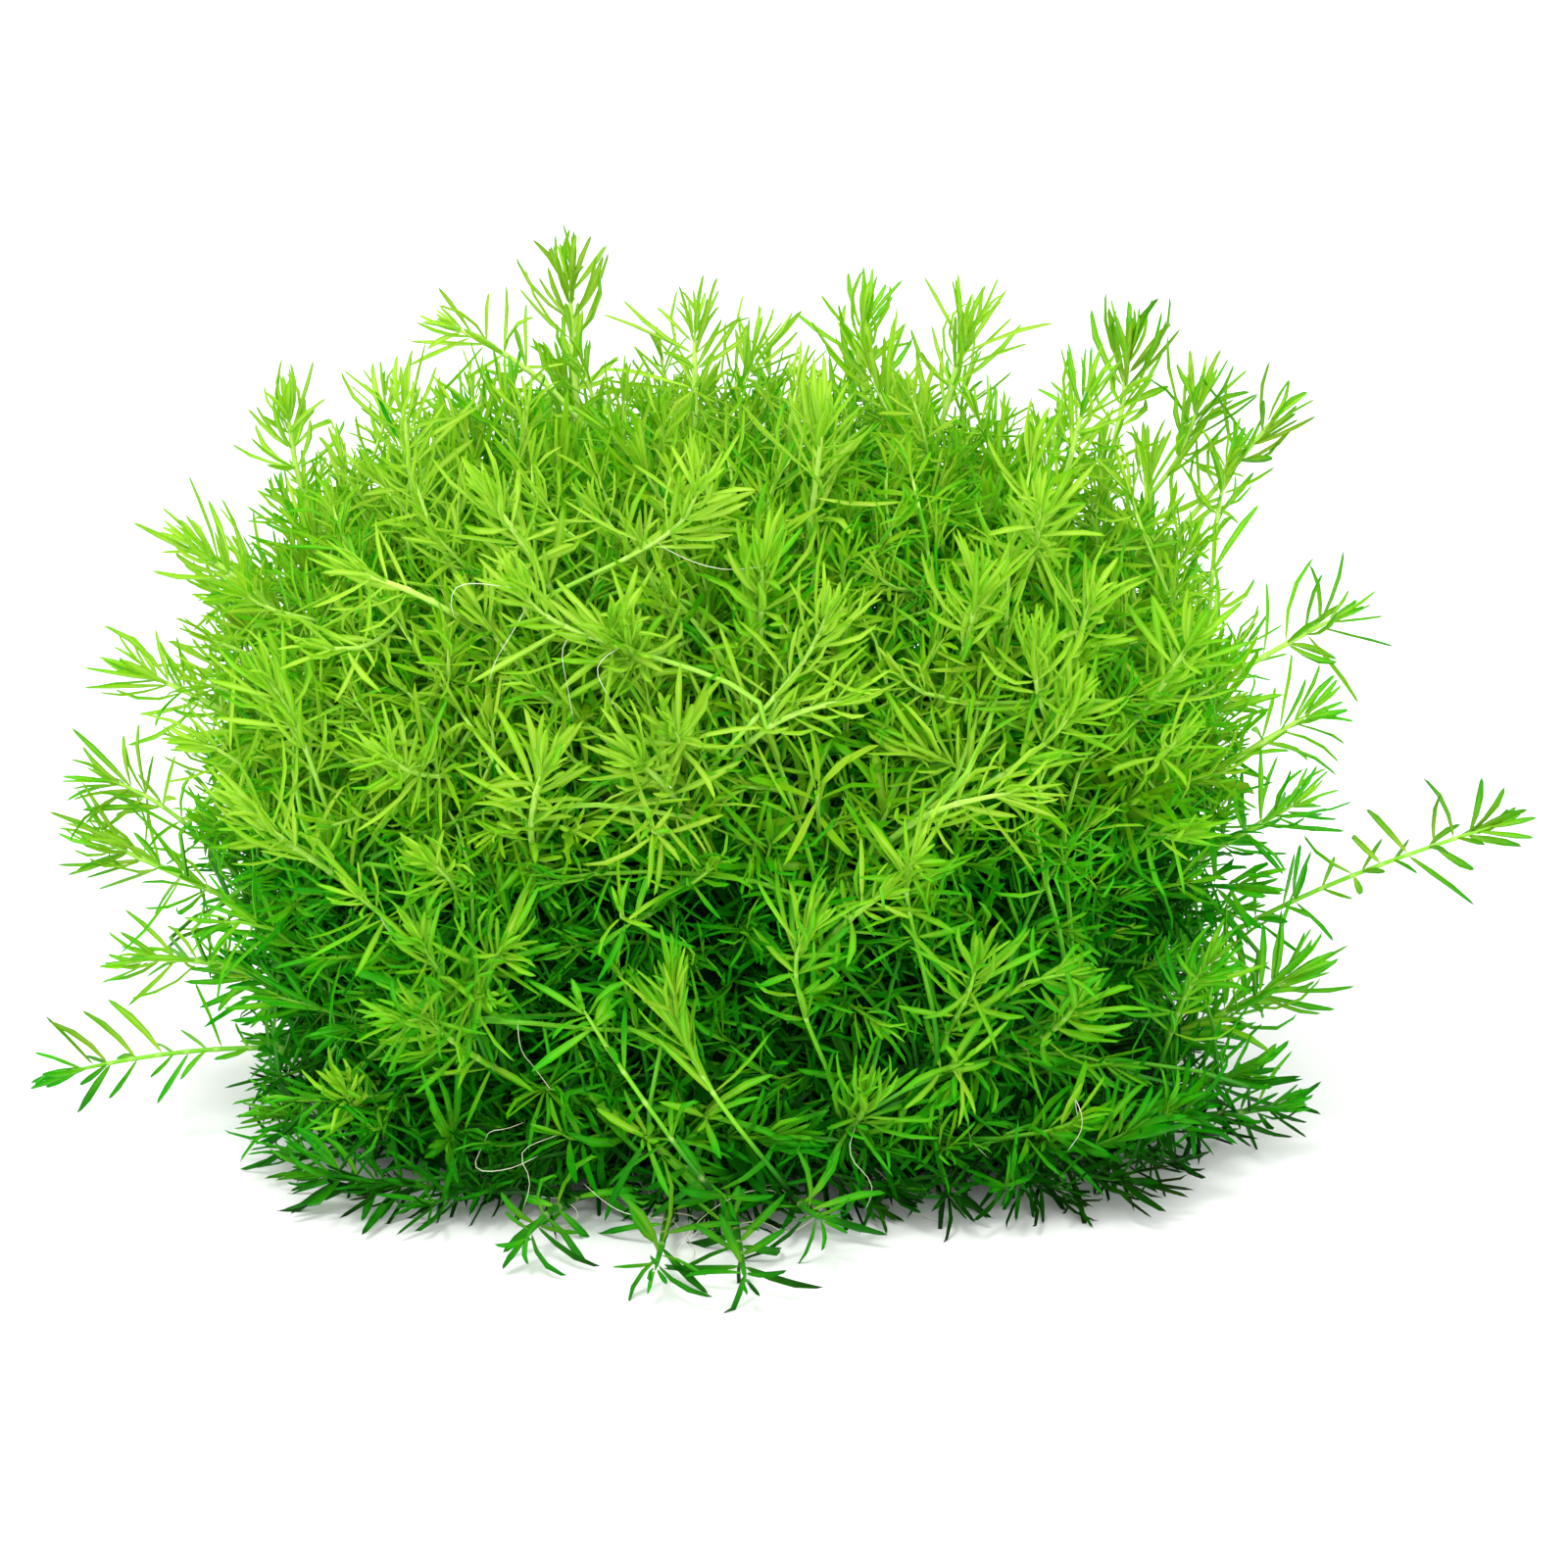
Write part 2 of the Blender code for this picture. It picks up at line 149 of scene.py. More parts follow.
# Side shoots that stand out in the photograph, in the same form
SIDE_SHOOTS = (
    ((-5, 30, 120), (0.1, 0.1, 1), "crown", 0), ((68, 27, 112), (0.1, 0, 1), "crown", 0),
    ((-105, -4, 60), (-0.9, 0, 0.3), "crown", 0), ((-69, -36, 16), (-0.15, -0.3, 1), "crown", 0.17),
    ((-70, -38, 5), (-0.8, -0.3, 0.35), "crown", 0.08), ((-52, -38, 12), (-0.2, -0.8, 0.3), "crown", 0.03),
    ((60, -34, 75), (0.5, -0.3, 0.7), "long", 0.06), ((72, -11, 11), (0.6, -0.4, 0.6), "crown", 0.07),
    ((66, -28, 36), (0.5, -0.5, 0.7), "crown", 0.1), ((40, -29, 110), (0.1, -0.3, 1), "crown", 0.05),
    ((6, -46, 98), (0.2, -0.4, 1), "brush", 0.17), ((-30, -51, 37), (-0.2, -0.7, 0.7), "star", 0.03),
    ((-20, -52, 68), (0, -0.9, 0.5), "star", 0.05), ((-25, -52, 53), (0, -0.7, 0.8), "star", 0.03),
    ((-13, -34, 115), (0, -0.4, 1), "crown", 0.05), ((39, -42, 91), (0.1, -0.3, 1), "brush", 0.05),
    ((-55, -47, 46), (-0.3, -0.5, 0.8), "crown", 0.08), ((41, -46, 43), (0.95, -0.2, 0.05), "long", 0.13),
    ((41, -36, 10), (0.3, -0.7, 0.5), "crown", 0.03), ((-13, -46, 18), (0.3, -0.8, 0.5), "star", 0.13),
    ((-9, -54, 9), (0.1, -0.95, 0.2), "star", 0.08), ((-45, -49, 46), (0.3, -0.6, 0.7), "crown", 0.08),
    ((72, 20, 104), (0.25, 0, 1), "long", -0.05), ((-48, -49, 40), (0.4, -0.8, 0.4), "crown", 0.08),
    ((2, -52, 50), (0.5, -0.35, 0.8), "crown", 0.08), ((-27, -43, 97), (0.3, -0.6, 0.7), "crown", 0.06),
    ((-39, -41, 101), (-0.2, -0.5, 0.8), "crown", 0.06), ((-24, -45, 94), (0.1, -0.6, 0.8), "brush", 0.05),
    ((-15, -49, 82), (-0.3, -0.7, 0.6), "crown", 0.1), ((47, -30, 96), (0.3, -0.4, 0.9), "crown", 0.05),
    ((45, -38, 82), (0.2, -0.5, 0.8), "crown", 0.05), ((-68, -38, 93), (-0.8, -0.4, 0.4), "long", 0.06),
    ((-88, -20, 72), (-0.9, -0.3, 0.2), "long", 0.05), ((-85, -22, 44), (-0.9, -0.2, -0.1), "long", 0),
    ((60, -30, 60), (0.8, -0.4, 0.3), "long", 0.05), ((19, -52, 63), (0.3, -0.8, 0.4), "crown", 0.06),
    ((-17, -53, 39), (0.08, -0.30, 1), "upright", 0.2), ((-57, -52, 37), (-0.65, -0.7, 0.3), "long", 0.13),
    ((-52, -47, 60), (-0.6, -0.5, 0.6), "crown", 0.06), ((-64, -44, 53), (-0.5, -0.5, 0.7), "long", 0.09),
    ((-60, -44, 76), (-0.3, -0.5, 0.8), "crown", 0.06), ((-78, -33, 84), (-0.5, -0.3, 0.8), "crown", 0.05),
    ((30, -50, 43), (0.1, -0.5, 0.9), "crown", 0.09),
)

# Habits: how far leaves lean and how soon, their length, the gap between whorls and how it widens,
# how far back leaves go, how pale the heart is, how leaves curl and hook, their width, leaves a whorl,
# and how untidy they are
HABIT_FIELDS = (
    "lean", "settle", "length", "gap", "widen", "back", "young", "curl", "hook", "width", "count", "wild",
)
HABIT_ROWS = {
    "crown": (66, 3.4, 13, 0.6, 0.66, 23, 0.82, 0.45, 0.25, 0.94, 6, 1.4),
    "brush": (60, 3.4, 14, 0.6, 0.6, 23, 0.82, 0.5, 0.2, 0.98, 6, 1.3),
    "long": (64, 3.4, 12, 0.9, 0.85, 44, 0.72, 0.4, 0.25, 0.94, 4, 1.4),
    "star": (78, 3, 12, 2, 1, 44, 0.5, -0.1, -0.6, 1.1, 3, 1.5),
    "upright": (30, 4, 14.5, 1.1, 0.25, 20, 0.3, 0.05, -0.2, 0.92, 5, 1.2),
    "filler": (68, 3.6, 9.6, 1.3, 0.45, 24, 0.4, 0.25, 0.1, 0.66, 4, 2),
    "wisp": (68, 3.6, 9.6, 1.4, 0.42, 26, 0.3, 0.2, 0, 0.62, 4, 2.4),
    "inner": (76, 4.6, 13, 2.2, 0.3, 44, 0.1, 0.1, 0, 1.5, 4, 1.6),
}
HABITS = {name: SimpleNamespace(**dict(zip(HABIT_FIELDS, row))) for name, row in HABIT_ROWS.items()}
# How often each habit comes among the shoots that fill the face
FILL_HABITS = {"crown": 0.03, "brush": 0.03, "long": 0.12, "filler": 0.79, "star": 0.03}
FILL_BRIGHT_SPREAD = 0.09
# Leaves: the heart's lean in degrees, how grown its leaves are, the distance where leaves are full grown,
# where they are old, the share of old ones lost, and the depth share under which a side shoot is bare
HEART_LEAN = 8
SEEN_HEART = 2.0
FILL_HEART = 3.0
GROWN_BY = 7.0
OLD_FROM = 12
OLD_LOST = 0.25
BARE_INSIDE = 0.52
# A leaf is rooted inside its stem, and its tip stays off the ground
ROOTED_AT = 0.75
LOWEST_TIP = 1.2
LIFTED_TIP = 1.4
# Runner leaves: distance back from the tip, lean (up is positive), length
RUNNER_LEAVES = {
    "right_runner": (
        (5, 12, 10.7), (5.4, 55, 10), (5.2, 30, 9.3), (4.6, -8, 7.3), (5.8, -32, 9.4),
        (8.2, 81, 11.2), (11.5, 80, 9.7), (11.5, -55, 8.5), (16, 112, 14.5), (16, -60, 13.8),
        (20.7, 115, 13), (25.6, 138, 10.6), (25.6, -95, 4.3),
    ),
    "left_runner": (
        (1, 12, 6.5), (3, 38, 8), (2.4, -14, 6), (5.2, 66, 11.5), (7.5, 70, 12.5),
        (12.2, 68, 13), (16.7, 70, 13), (8, -42, 11.6), (21, -58, 10.7), (26.5, 74, 11.5),
    ),
}

# Thread roots that show in front of the leaves, then the radii and points of every thread root
THREADS = (
    ((-41, -51, 32), (-39, -52, 30), (-36, -53, 26)), ((-49, -52, 12), (-43, -54, 13), (-38, -55, 16)),
    ((-46, -52, 19), (-43, -54, 20), (-40, -53, 21)), ((-42, -53, 16), (-39, -55, 12), (-41, -55, 6)),
    ((-34, -50, 97), (-33, -52, 93), (-32, -51, 86)), ((-41, -48, 100), (-44, -51, 96), (-45, -50, 92)),
    ((-50, -45, 107), (-51, -48, 104), (-50, -47, 101)), ((-29, -50, 95), (-27, -52, 91), (-25, -52, 88)),
    ((-63, -46, 53), (-61, -48, 50), (-58, -49, 49)), ((46, -48, 24), (48, -50, 19), (45, -51, 15)),
    ((10, -50, 14), (15, -52, 10), (13, -52, 5)), ((-20, -42, 112), (-10, -44, 108), (-2, -44, 109)),
)
ROOT_RADII = (0.08, 0.04)
ROOT_STATIONS = 12
# A withered dark leaf: its node, distance back from the tip, and the measures of the leaf
WITHERED_NODE = "top_shoot_4"
WITHERED_BACK = 7.0
WITHERED_LEAF = {
    "around": 0.6, "lean": 0.5, "length": 12.0, "width": 1.2, "bend": 0.3,
    "youth": 0.0, "tone": -5.6, "bright": 0.0,
}

# Stems that lie too low or too far out for other shoots to branch off them
CREEPING = ("front_sprig", "left_runner", "right_runner")
# Places back from a runner's tip: its whorls, its short side leaves, and its full whorls near the clump
RUNNER_WHORLS = (8, 11.5, 16, 20.7, 25.6, 31, 36, 43, 50)
RUNNER_SIDE_LEAVES = (2.0, 4.0, 7.5, 12.5, 18.5, 24.0, 31.0, 38.0)
RUNNER_FULL_WHORLS = (36.0, 43.0, 50.0)

# How far a blade folds is a share of half its width
LEAF_WIDTH = 1.12
LEAF_THICKNESS = 0.24
FOLD = 0.55
# Points of a blade's section: how far across, how much fold lifts them, thickness, midrib and upper face
FOUR_POINTS = np.array([
    (-1, 1, 0.0, 0, 0.5), (0, 0, 0.3, 1, 1.0), (1, 1, 0.0, 0, 0.5), (0, 0, -0.7, 1, 0.0),
])
THREE_POINTS = np.array([(-1, 1, 0.0, 0, 0.8), (1, 1, 0.0, 0, 0.8), (0, 0, -0.7, 1, 0.0)])
# Blades plain to fine: rings from root to tip, the widths there, and the section
BLADES = (
    ((0.0, 0.22, 0.84, 1.0), (0.0, 0.82, 0.92, 0.0), THREE_POINTS),
    ((0.0, 0.15, 0.54, 0.88, 1.0), (0.0, 0.60, 1.0, 0.68, 0.0), THREE_POINTS),
    ((0.0, 0.08, 0.34, 0.66, 0.92, 1.0), (0.0, 0.48, 0.88, 1.0, 0.54, 0.0), FOUR_POINTS),
)

# The room left around a part in its cell of the map, and the angle from which an edge is sharp
MAP_MARGIN = 0.04
SHARP_FROM = radians(75)

# Colours: ramps from shade to light, then what is laid over them
LEAF_GREENS = (
    (0, (0, 0.014, 0)),
    (0.16, (0.001, 0.14, 0.001)),
    (0.34, (0.004, 0.44, 0.001)),
    (0.52, (0.045, 0.62, 0.002)),
    (0.7, (0.2, 0.69, 0.002)),
    (0.86, (0.4, 0.72, 0.006)),
    (1, (0.56, 0.75, 0.04)),
)
STEM_GREENS = (
    (0, (0.006, 0.06, 0.003)),
    (0.25, (0.03, 0.26, 0.006)),
    (0.5, (0.19, 0.54, 0.016)),
    (1, (0.5, 0.75, 0.12)),
)
ROOT_WHITES = (
    (0.3, (0.42, 0.4, 0.22)),
    (0.55, (0.72, 0.74, 0.55)),
    (0.8, (0.86, 0.88, 0.76)),
)
YOUNG_GREEN = (0.64, 0.86, 0.04, 1)
FOOT_GREEN = (0.64, 0.88, 0.06, 1)
# The paler midrib, made whiter so that it also carries a painted highlight
MIDRIB_HIGHLIGHT_GREEN = (0.76, 0.95, 0.36, 1)
RIM_GREEN = (0.01, 0.14, 0.003, 1)
UNDER_GREEN = (0.22, 0.58, 0.04, 1)
# Painted shade laid over leaves that stand well out of the clump
PROUD_SHADE_GREEN = (0.02, 0.03, 0.0, 1)
GLOW_GREEN = (0.28, 0.95, 0.01, 1)
WHORL_GREEN = (0.62, 0.80, 0.25, 1)
FLOOR_WHITE = (0.93, 0.93, 0.93, 1)
TRANSLUCENT_SHARE = 0.48
BUMP_DEPTH = 0.0002

# Places of a piece's materials
LEAF_SLOT, STEM_SLOT, ROOT_SLOT = range(3)

# Light rises with height and with the depth share: where each rise starts, and over what span
LOW_RISE = (1.5, 19)
MIDDLE_RISE = (44, 26)
TOP_RISE = (70, 60)
OUTER_RISE = (0.60, 0.40)
OUTER_POWER = 1.2
PROUD_RISE = (1.0, 0.2)
# Where the painted shade of leaves that stand out of the clump starts, and over what span
PROUD_SHADE_RISE = (1.04, 0.2)
# Light on the outer face, and its share deep inside: at the ground, then what each rise adds
OPEN_LIGHT = (0.04, 0.52, 0.30, 0.12)
DEEP_SHARE = (0.10, 0.46, 0.14)
# The left is lighter than the right, by this much at this distance out, and what stands proud is darker
EVEN_LIGHT = 0.03
LEFT_LIGHT = 0.04
LEFT_REACH = 60
PROUD_SHADE = 0.16

# The clump's foot is drawn in and has a skirt of low shoots: height and half widths of each row
FOOT_DRAWN_IN = np.array([12.0, 2.0])
SKIRT_MIDDLE = np.array([-7.0, 10.0])
SKIRT = ((3.5, 69, 52), (13.0, 71, 53))
SKIRT_SPACING = 8.0
SKIRT_ROUNDNESS = 8.0
# Places tried for the hearts of side shoots, and how low a heart may be
SKIRT_TRIES = 400
FACE_TRIES = 3000
LOWEST_HEART = 3.0
# Side shoots: the length that suits them, the cosine up to which they may bend, how near to the ground
# they come, and how far from the tip they may start to turn
SIDE_LENGTH = 44
SIDE_STRAIGHT = 0.55
SIDE_LOWEST = 2.5
SIDE_REACH = 16.0
# Layers of side shoots under the clump's face: depth to the sides, to the front and below the top,
# room for each heart, spread of headings, habit
LAYERS = (
    ((5, 4, 7), 16, 0.5, None),
    ((11, 9, 15), 8, 0.75, None),
    ((16, 14, 21), 8, 0.95, "wisp"),
    ((23, 21, 28), 11.5, 0.5, "inner"),
    ((35, 33, 39), 14.5, 0.6, "inner"),
)


def unit(v):
    v = np.asarray(v, float)
    return v / norm(v)


def units(v):
    return v / norm(v, axis=-1, keepdims=True)


def smooth_step(x):
    x = np.clip(x, 0.0, 1.0)
    return x * x * (3 - 2 * x)


def rising(value, rise):
    """0 up to the start of a rise and 1 past its span."""
    start, span = rise
    return np.clip((value - start) / span, 0, 1)


def crown_surface(bearing, height):
    """The point of the clump's outer face at a bearing and a height."""
    span = CLUMP_TOP - CLUMP_WAIST if height > CLUMP_WAIST else CLUMP_BELOW
    level = 1 - abs((height - CLUMP_WAIST) / span) ** ROUNDNESS
    way = np.array([cos(radians(bearing)), sin(radians(bearing))])
    out = (level / (np.abs(way / CLUMP_HALF) ** ROUNDNESS).sum()) ** (1 / ROUNDNESS)
    return np.append(CLUMP_MIDDLE + way * out, height)


def foot_of(tip):
    """Where a stem is cut, so that the stems fan out."""
    from_middle = (np.asarray(tip[:2]) - CLUMP_MIDDLE) / CLUMP_HALF
    out = norm(from_middle)
    share = (atan2(out, tip[2] / CLUMP_TOP) / (pi / 2)) ** FAN
    return CLUMP_MIDDLE + FOOT_HALF * from_middle / max(out, 1e-6) * share


def spread_feet(feet, held):
    """Moves the cut ends apart, on the ground, until each has its room."""
    for _ in range(FEET_ROUNDS):
        away = feet[:, None] - feet[None]
        gap = norm(away, axis=2) + np.eye(len(feet)) * 1e3
        push = np.clip(FOOT_SPACING - gap, 0, None)[..., None] * away / gap[..., None]
        move = 0.5 * push.sum(axis=1)
        move[held] = 0
        feet = feet + move
        out = norm((feet - CLUMP_MIDDLE) / FOOT_HALF, axis=1)
        inside = CLUMP_MIDDLE + (feet - CLUMP_MIDDLE) / np.maximum(out, 1)[:, None]
        feet = np.where(held[:, None], feet, inside)
    return feet


def bezier(points, count):
    t = np.linspace(0, 1, count)[:, None]
    a, b, c, d = (np.asarray(p, float) for p in points)
    return (1 - t) ** 3 * a + 3 * (1 - t) ** 2 * t * b + 3 * (1 - t) * t ** 2 * c + t ** 3 * d


def evenly(path, count):
    """The same path with its points evenly spaced."""
    along = np.append(0, np.cumsum(norm(np.diff(path, axis=0), axis=1)))
    at = np.linspace(0, along[-1], count)
    return np.stack([np.interp(at, along, path[:, k]) for k in range(3)], axis=1)


def stem_path(foot, tip, heading, reach=None):
    """A stem's centreline: up from its cut end, then over to its tip."""
    foot = np.append(foot, 0.0)
    tip = np.asarray(tip, float)
    long = norm(tip - foot)
    reach = reach or REACH_SHARE * long
    before = tip - unit(heading) * reach
    before[2] = max(before[2], 6.0)
    rise = foot + np.array([0, 0, 1.0]) * RISE_SHARE * max(tip[2], before[2])
    return evenly(bezier((foot, rise, before, tip), 60), STATIONS)


def ease_apart(paths):
    """Bends the stems a little where two of them would touch. Feet and tips stay where they are."""
    paths = np.array(paths)
    n, k, _ = paths.shape
    owner = np.repeat(np.arange(n), k)
    free = np.ones(k)
    free[:2] = 0
    free[-3:] = 0
    for _ in range(PATH_ROUNDS):
        flat = paths.reshape(-1, 3)
        move = np.zeros_like(flat)
        for i in range(n):
            own = owner == i
            away = flat[own][:, None] - flat[~own][None]
            gap = norm(away, axis=2)
            short = np.clip(STEM_SPACING - gap, 0, None)
            move[own] = (short[..., None] * away / np.maximum(gap, 0.05)[..., None]).sum(axis=1)
        move = move.reshape(paths.shape) * free[None, :, None]
        smooth = sum(np.roll(move, step, axis=1) * weight for step, weight in EASING)
        paths = paths + 0.35 * smooth * free[None, :, None]
    return [evenly(p, STATIONS) for p in paths]


class Stem:
    """A centreline with a frame at each point that doesn't twist."""

    def __init__(self, path, foot_radius, tip_radius, first=None):
        self.path = path
        self.foot_radius, self.tip_radius = foot_radius, tip_radius
        self.along = np.append(0, np.cumsum(norm(np.diff(path, axis=0), axis=1)))
        self.length = self.along[-1]
        tangents = np.gradient(path, axis=0)
        if first is not None:
            tangents[0] = first
        self.tangents = units(tangents)
        side = np.cross(self.tangents[-1], (0, 0, 1.0))
        side = unit(side) if norm(side) > 0.1 else np.array([0, 1.0, 0])
        sides = [side]
        for t in self.tangents[::-1][1:]:
            side = unit(side - t * (side @ t))
            sides.append(side)
        self.sides = np.array(sides[::-1])

    def at(self, distance):
        """Points, directions, sides and third axes at distances from the foot."""
        d = np.clip(np.atleast_1d(distance), 0, self.length)
        p, t, s = (
            np.stack([np.interp(d, self.along, v[:, k]) for k in range(3)], axis=-1)
            for v in (self.path, self.tangents, self.sides)
        )
        t = units(t)
        s = units(s - t * (s * t).sum(-1, keepdims=True))
        return p, t, s, np.cross(t, s)

    def radius(self, distance):
        return self.foot_radius + (self.tip_radius - self.foot_radius) * distance / self.length


def depth_share(points, shrink=(0, 0, 0)):
    """0 at the clump's middle and 1 on its outer face, for points."""
    q = np.abs((points[..., :2] - CLUMP_MIDDLE) / (CLUMP_HALF - shrink[:2])) ** ROUNDNESS
    dz = points[..., 2] - CLUMP_WAIST
    span = np.where(dz > 0, CLUMP_TOP - CLUMP_WAIST - shrink[2], CLUMP_BELOW)
    return (q.sum(-1) + np.abs(dz / span) ** ROUNDNESS) ** (1 / ROUNDNESS)


def outward_at(point):
    """The way out of the clump at a point: the slope of depth_share."""
    step = 0.5
    probe = point + np.vstack([np.eye(3), -np.eye(3)]) * step
    share = depth_share(probe)
    return unit(share[:3] - share[3:])


def light_at(points):
    """How much light reaches a place: more with height, near the outer face and to the left."""
    height = points[..., 2]
    share = depth_share(points)
    low = rising(height, LOW_RISE)
    middle = smooth_step(rising(height, MIDDLE_RISE))
    top = rising(height, TOP_RISE)
    outer = rising(share, OUTER_RISE) ** OUTER_POWER
    proud = rising(share, PROUD_RISE) * middle
    ground, with_low, with_middle, with_top = OPEN_LIGHT
    light = ground + with_low * low + with_middle * middle + with_top * top
    ground, with_middle, with_top = DEEP_SHARE
    deep = ground + with_middle * middle + with_top * top
    side = EVEN_LIGHT - LEFT_LIGHT * np.clip(points[..., 0] / LEFT_REACH, -1, 1) - PROUD_SHADE * proud
    return side + light * (deep + (1 - deep) * outer)


def main_shoots():
    """Every packed stem as a shoot, keyed by its node."""
    shoots = []

    def add(node, heart, heading, habit, bright, foot=None, reach=None):
        shoots.append(SimpleNamespace(
            node=node, heart=np.asarray(heart, float), heading=heading, habit=habit, bright=bright,
            foot=foot, reach=reach, main=True, detail=2,
        ))

    for name, group in SHOOTS.items():
        for k, (heart, heading, habit, bright) in enumerate(group, 1):
            add(f"{name}_{k}", heart, heading, habit, bright)
    for k, (bearing, height) in enumerate(BACK_SHOOTS, 1):
        heart = crown_surface(bearing, height)
        out = np.append(unit(heart[:2] - CLUMP_MIDDLE), 0.35 + height / CLUMP_TOP)
        add(f"back_shoot_{k}", heart, out, "crown", 0.0)
    for name, (heart, heading, foot) in RUNNERS.items():
        add(name, heart, heading, "runner", RUNNER_BRIGHT, np.array(foot, float), RUNNER_REACH)
    tips = [s.heart + unit(s.heading) * HEART_TO_TIP for s in shoots]
    held = np.array([s.foot is not None for s in shoots])
    feet = np.array([foot_of(tip) if s.foot is None else s.foot for tip, s in zip(tips, shoots)])
    feet = spread_feet(feet, held)
    paths = [stem_path(foot, tip, s.heading, s.reach) for foot, tip, s in zip(feet, tips, shoots)]
    for shoot, path in zip(shoots, ease_apart(paths)):
        radii = RUNNER_RADII if shoot.habit == "runner" else STEM_RADII
        shoot.stem = Stem(path, *radii, first=(0, 0, 1))
    return shoots


def room_at(point, hearts):
    """The distance from a point to the nearest heart."""
    away = np.reshape(hearts, (-1, 3)) - point
    return norm(away, axis=1).min(initial=np.inf)


def scattered_hearts(taken, shrink, spacing):
    """Points spread over the clump's face, each with its room from the hearts already there."""
    hearts = list(taken)
    middle = np.append(CLUMP_MIDDLE, CLUMP_WAIST)
    half = np.append(CLUMP_HALF - shrink[:2], CLUMP_TOP - CLUMP_WAIST - shrink[2])
    golden = pi * (3 - sqrt(5))
    for i in range(FACE_TRIES):
        z = 1 - 1.96 * (i + 0.5) / FACE_TRIES
        ring = sqrt(max(0, 1 - z * z))
        way = np.array([ring * cos(golden * i), ring * sin(golden * i), z])
        way = unit(way + draw(0, 0.03, 3)) * half
        point = middle + way / depth_share(middle + way, shrink)
        point += outward_at(point) * draw(0, 2.0)
        drawn_in = 1 - FOOT_DRAWN_IN * max(0.0, 1 - point[2] / CLUMP_WAIST) / CLUMP_HALF
        point[:2] = CLUMP_MIDDLE + (point[:2] - CLUMP_MIDDLE) * drawn_in
        if point[2] >= LOWEST_HEART and room_at(point, hearts) >= spacing:
            hearts.append(point)
    return hearts[len(taken):]


def skirt_hearts(taken):
    """Points along the clump's foot, which is squarer than its face, for shoots that lie on the ground."""
    hearts = list(taken)
    turn = np.linspace(0, 2 * pi, SKIRT_TRIES, endpoint=False)
    way = np.stack([np.cos(turn), np.sin(turn)], axis=1)
    for height, half_x, half_y in SKIRT:
        out = (np.abs(way / (half_x, half_y)) ** SKIRT_ROUNDNESS).sum(axis=1) ** (-1 / SKIRT_ROUNDNESS)
        for x, y in SKIRT_MIDDLE + way * out[:, None] + draw(0, 1.2, (SKIRT_TRIES, 2)):
            point = np.array([x, y, max(LOWEST_HEART, height + draw(0, 1.5))])
            if room_at(point, hearts) > SKIRT_SPACING:
                hearts.append(point)
    return hearts[len(taken):]


def side_path(parents, heart, heading):
    """The centreline of a side shoot, from the main stem that lies best behind it."""
    heading = unit(heading)
    tip = heart + heading * HEART_TO_TIP
    best = None
    for parent in parents:
        stem = parent.stem
        p, t, _, _ = stem.at(np.linspace(0.12, 0.86, 16) * stem.length)
        away = tip - p
        long = norm(away, axis=1)
        too_bent = np.clip(SIDE_STRAIGHT - (away @ heading) / long, 0, None)
        too_low = np.clip((p[:, 2] - tip[2]) / 20, 0, None)
        score = np.abs(long - SIDE_LENGTH) + 40 * too_bent + 20 * too_low
        k = int(np.argmin(score))
        if best is None or score[k] < best[0]:
            best = (score[k], parent, p[k], t[k], long[k])
    _, parent, start, tangent, long = best
    leave = unit(tangent + 0.5 * unit(tip - start))
    before = tip - heading * min(0.42 * long, SIDE_REACH)
    points = np.array([start, start + leave * 0.35 * long, before, tip])
    points[:, 2] = np.maximum(points[:, 2], SIDE_LOWEST)
    return parent, evenly(bezier(points, 40), 18)


def side_shoots(parents):
    """The side shoots seen in the photograph, those that fill the clump's face, and the layers inside."""
    shoots = []

    def add(stems, heart, heading, habit, bright, radius, detail):
        parent, path = side_path(stems, heart, heading)
        stem = Stem(path, radius, radius * SHOOT_TAPER)
        shoots.append(SimpleNamespace(
            node=parent.node, stem=stem, habit=habit, bright=bright, heart=heart, main=False, detail=detail,
        ))

    for heart, heading, habit, bright in SIDE_SHOOTS:
        add(parents, np.asarray(heart, float), heading, habit, bright, SEEN_RADIUS, 2)
    upright = [p for p in parents if not p.node.startswith(CREEPING)]
    taken = [s.heart for s in parents] + [s.heart for s in shoots]
    for shrink, spacing, spread, habit in LAYERS:
        hearts = scattered_hearts([] if habit else taken, shrink, spacing)
        if not habit:
            hearts += skirt_hearts(taken + hearts)
            taken += hearts
        for heart in hearts:
            # Shoots rise more towards the top, and those at the foot turn up
            lift = 0.30 + 0.75 * np.clip(heart[2] / 90, 0, 1) + 0.8 * np.clip(1 - heart[2] / 30, 0, 1)
            heading = outward_at(heart) + np.array([0, 0, lift]) + draw(0, spread, 3)
            kind = habit or str(RANDOM.choice(list(FILL_HABITS), p=list(FILL_HABITS.values())))
            bright = float(draw(0.0, FILL_BRIGHT_SPREAD))
            add(upright, heart, heading, kind, bright, FILL_RADIUS, 0 if kind in ("inner", "wisp") else 1)
    return shoots


def columns(rows):
    """Rows of named values as one array for each name."""
    names = vars(rows[0])
    return SimpleNamespace(**{name: np.array([vars(row)[name] for row in rows]) for name in names})


def whorl_distances(habit, length):
    distances, d, gap = [], 0.5, habit.gap
    while d < min(habit.back, length - 4):
        distances.append(d)
        d += gap
        gap += habit.widen
    return distances


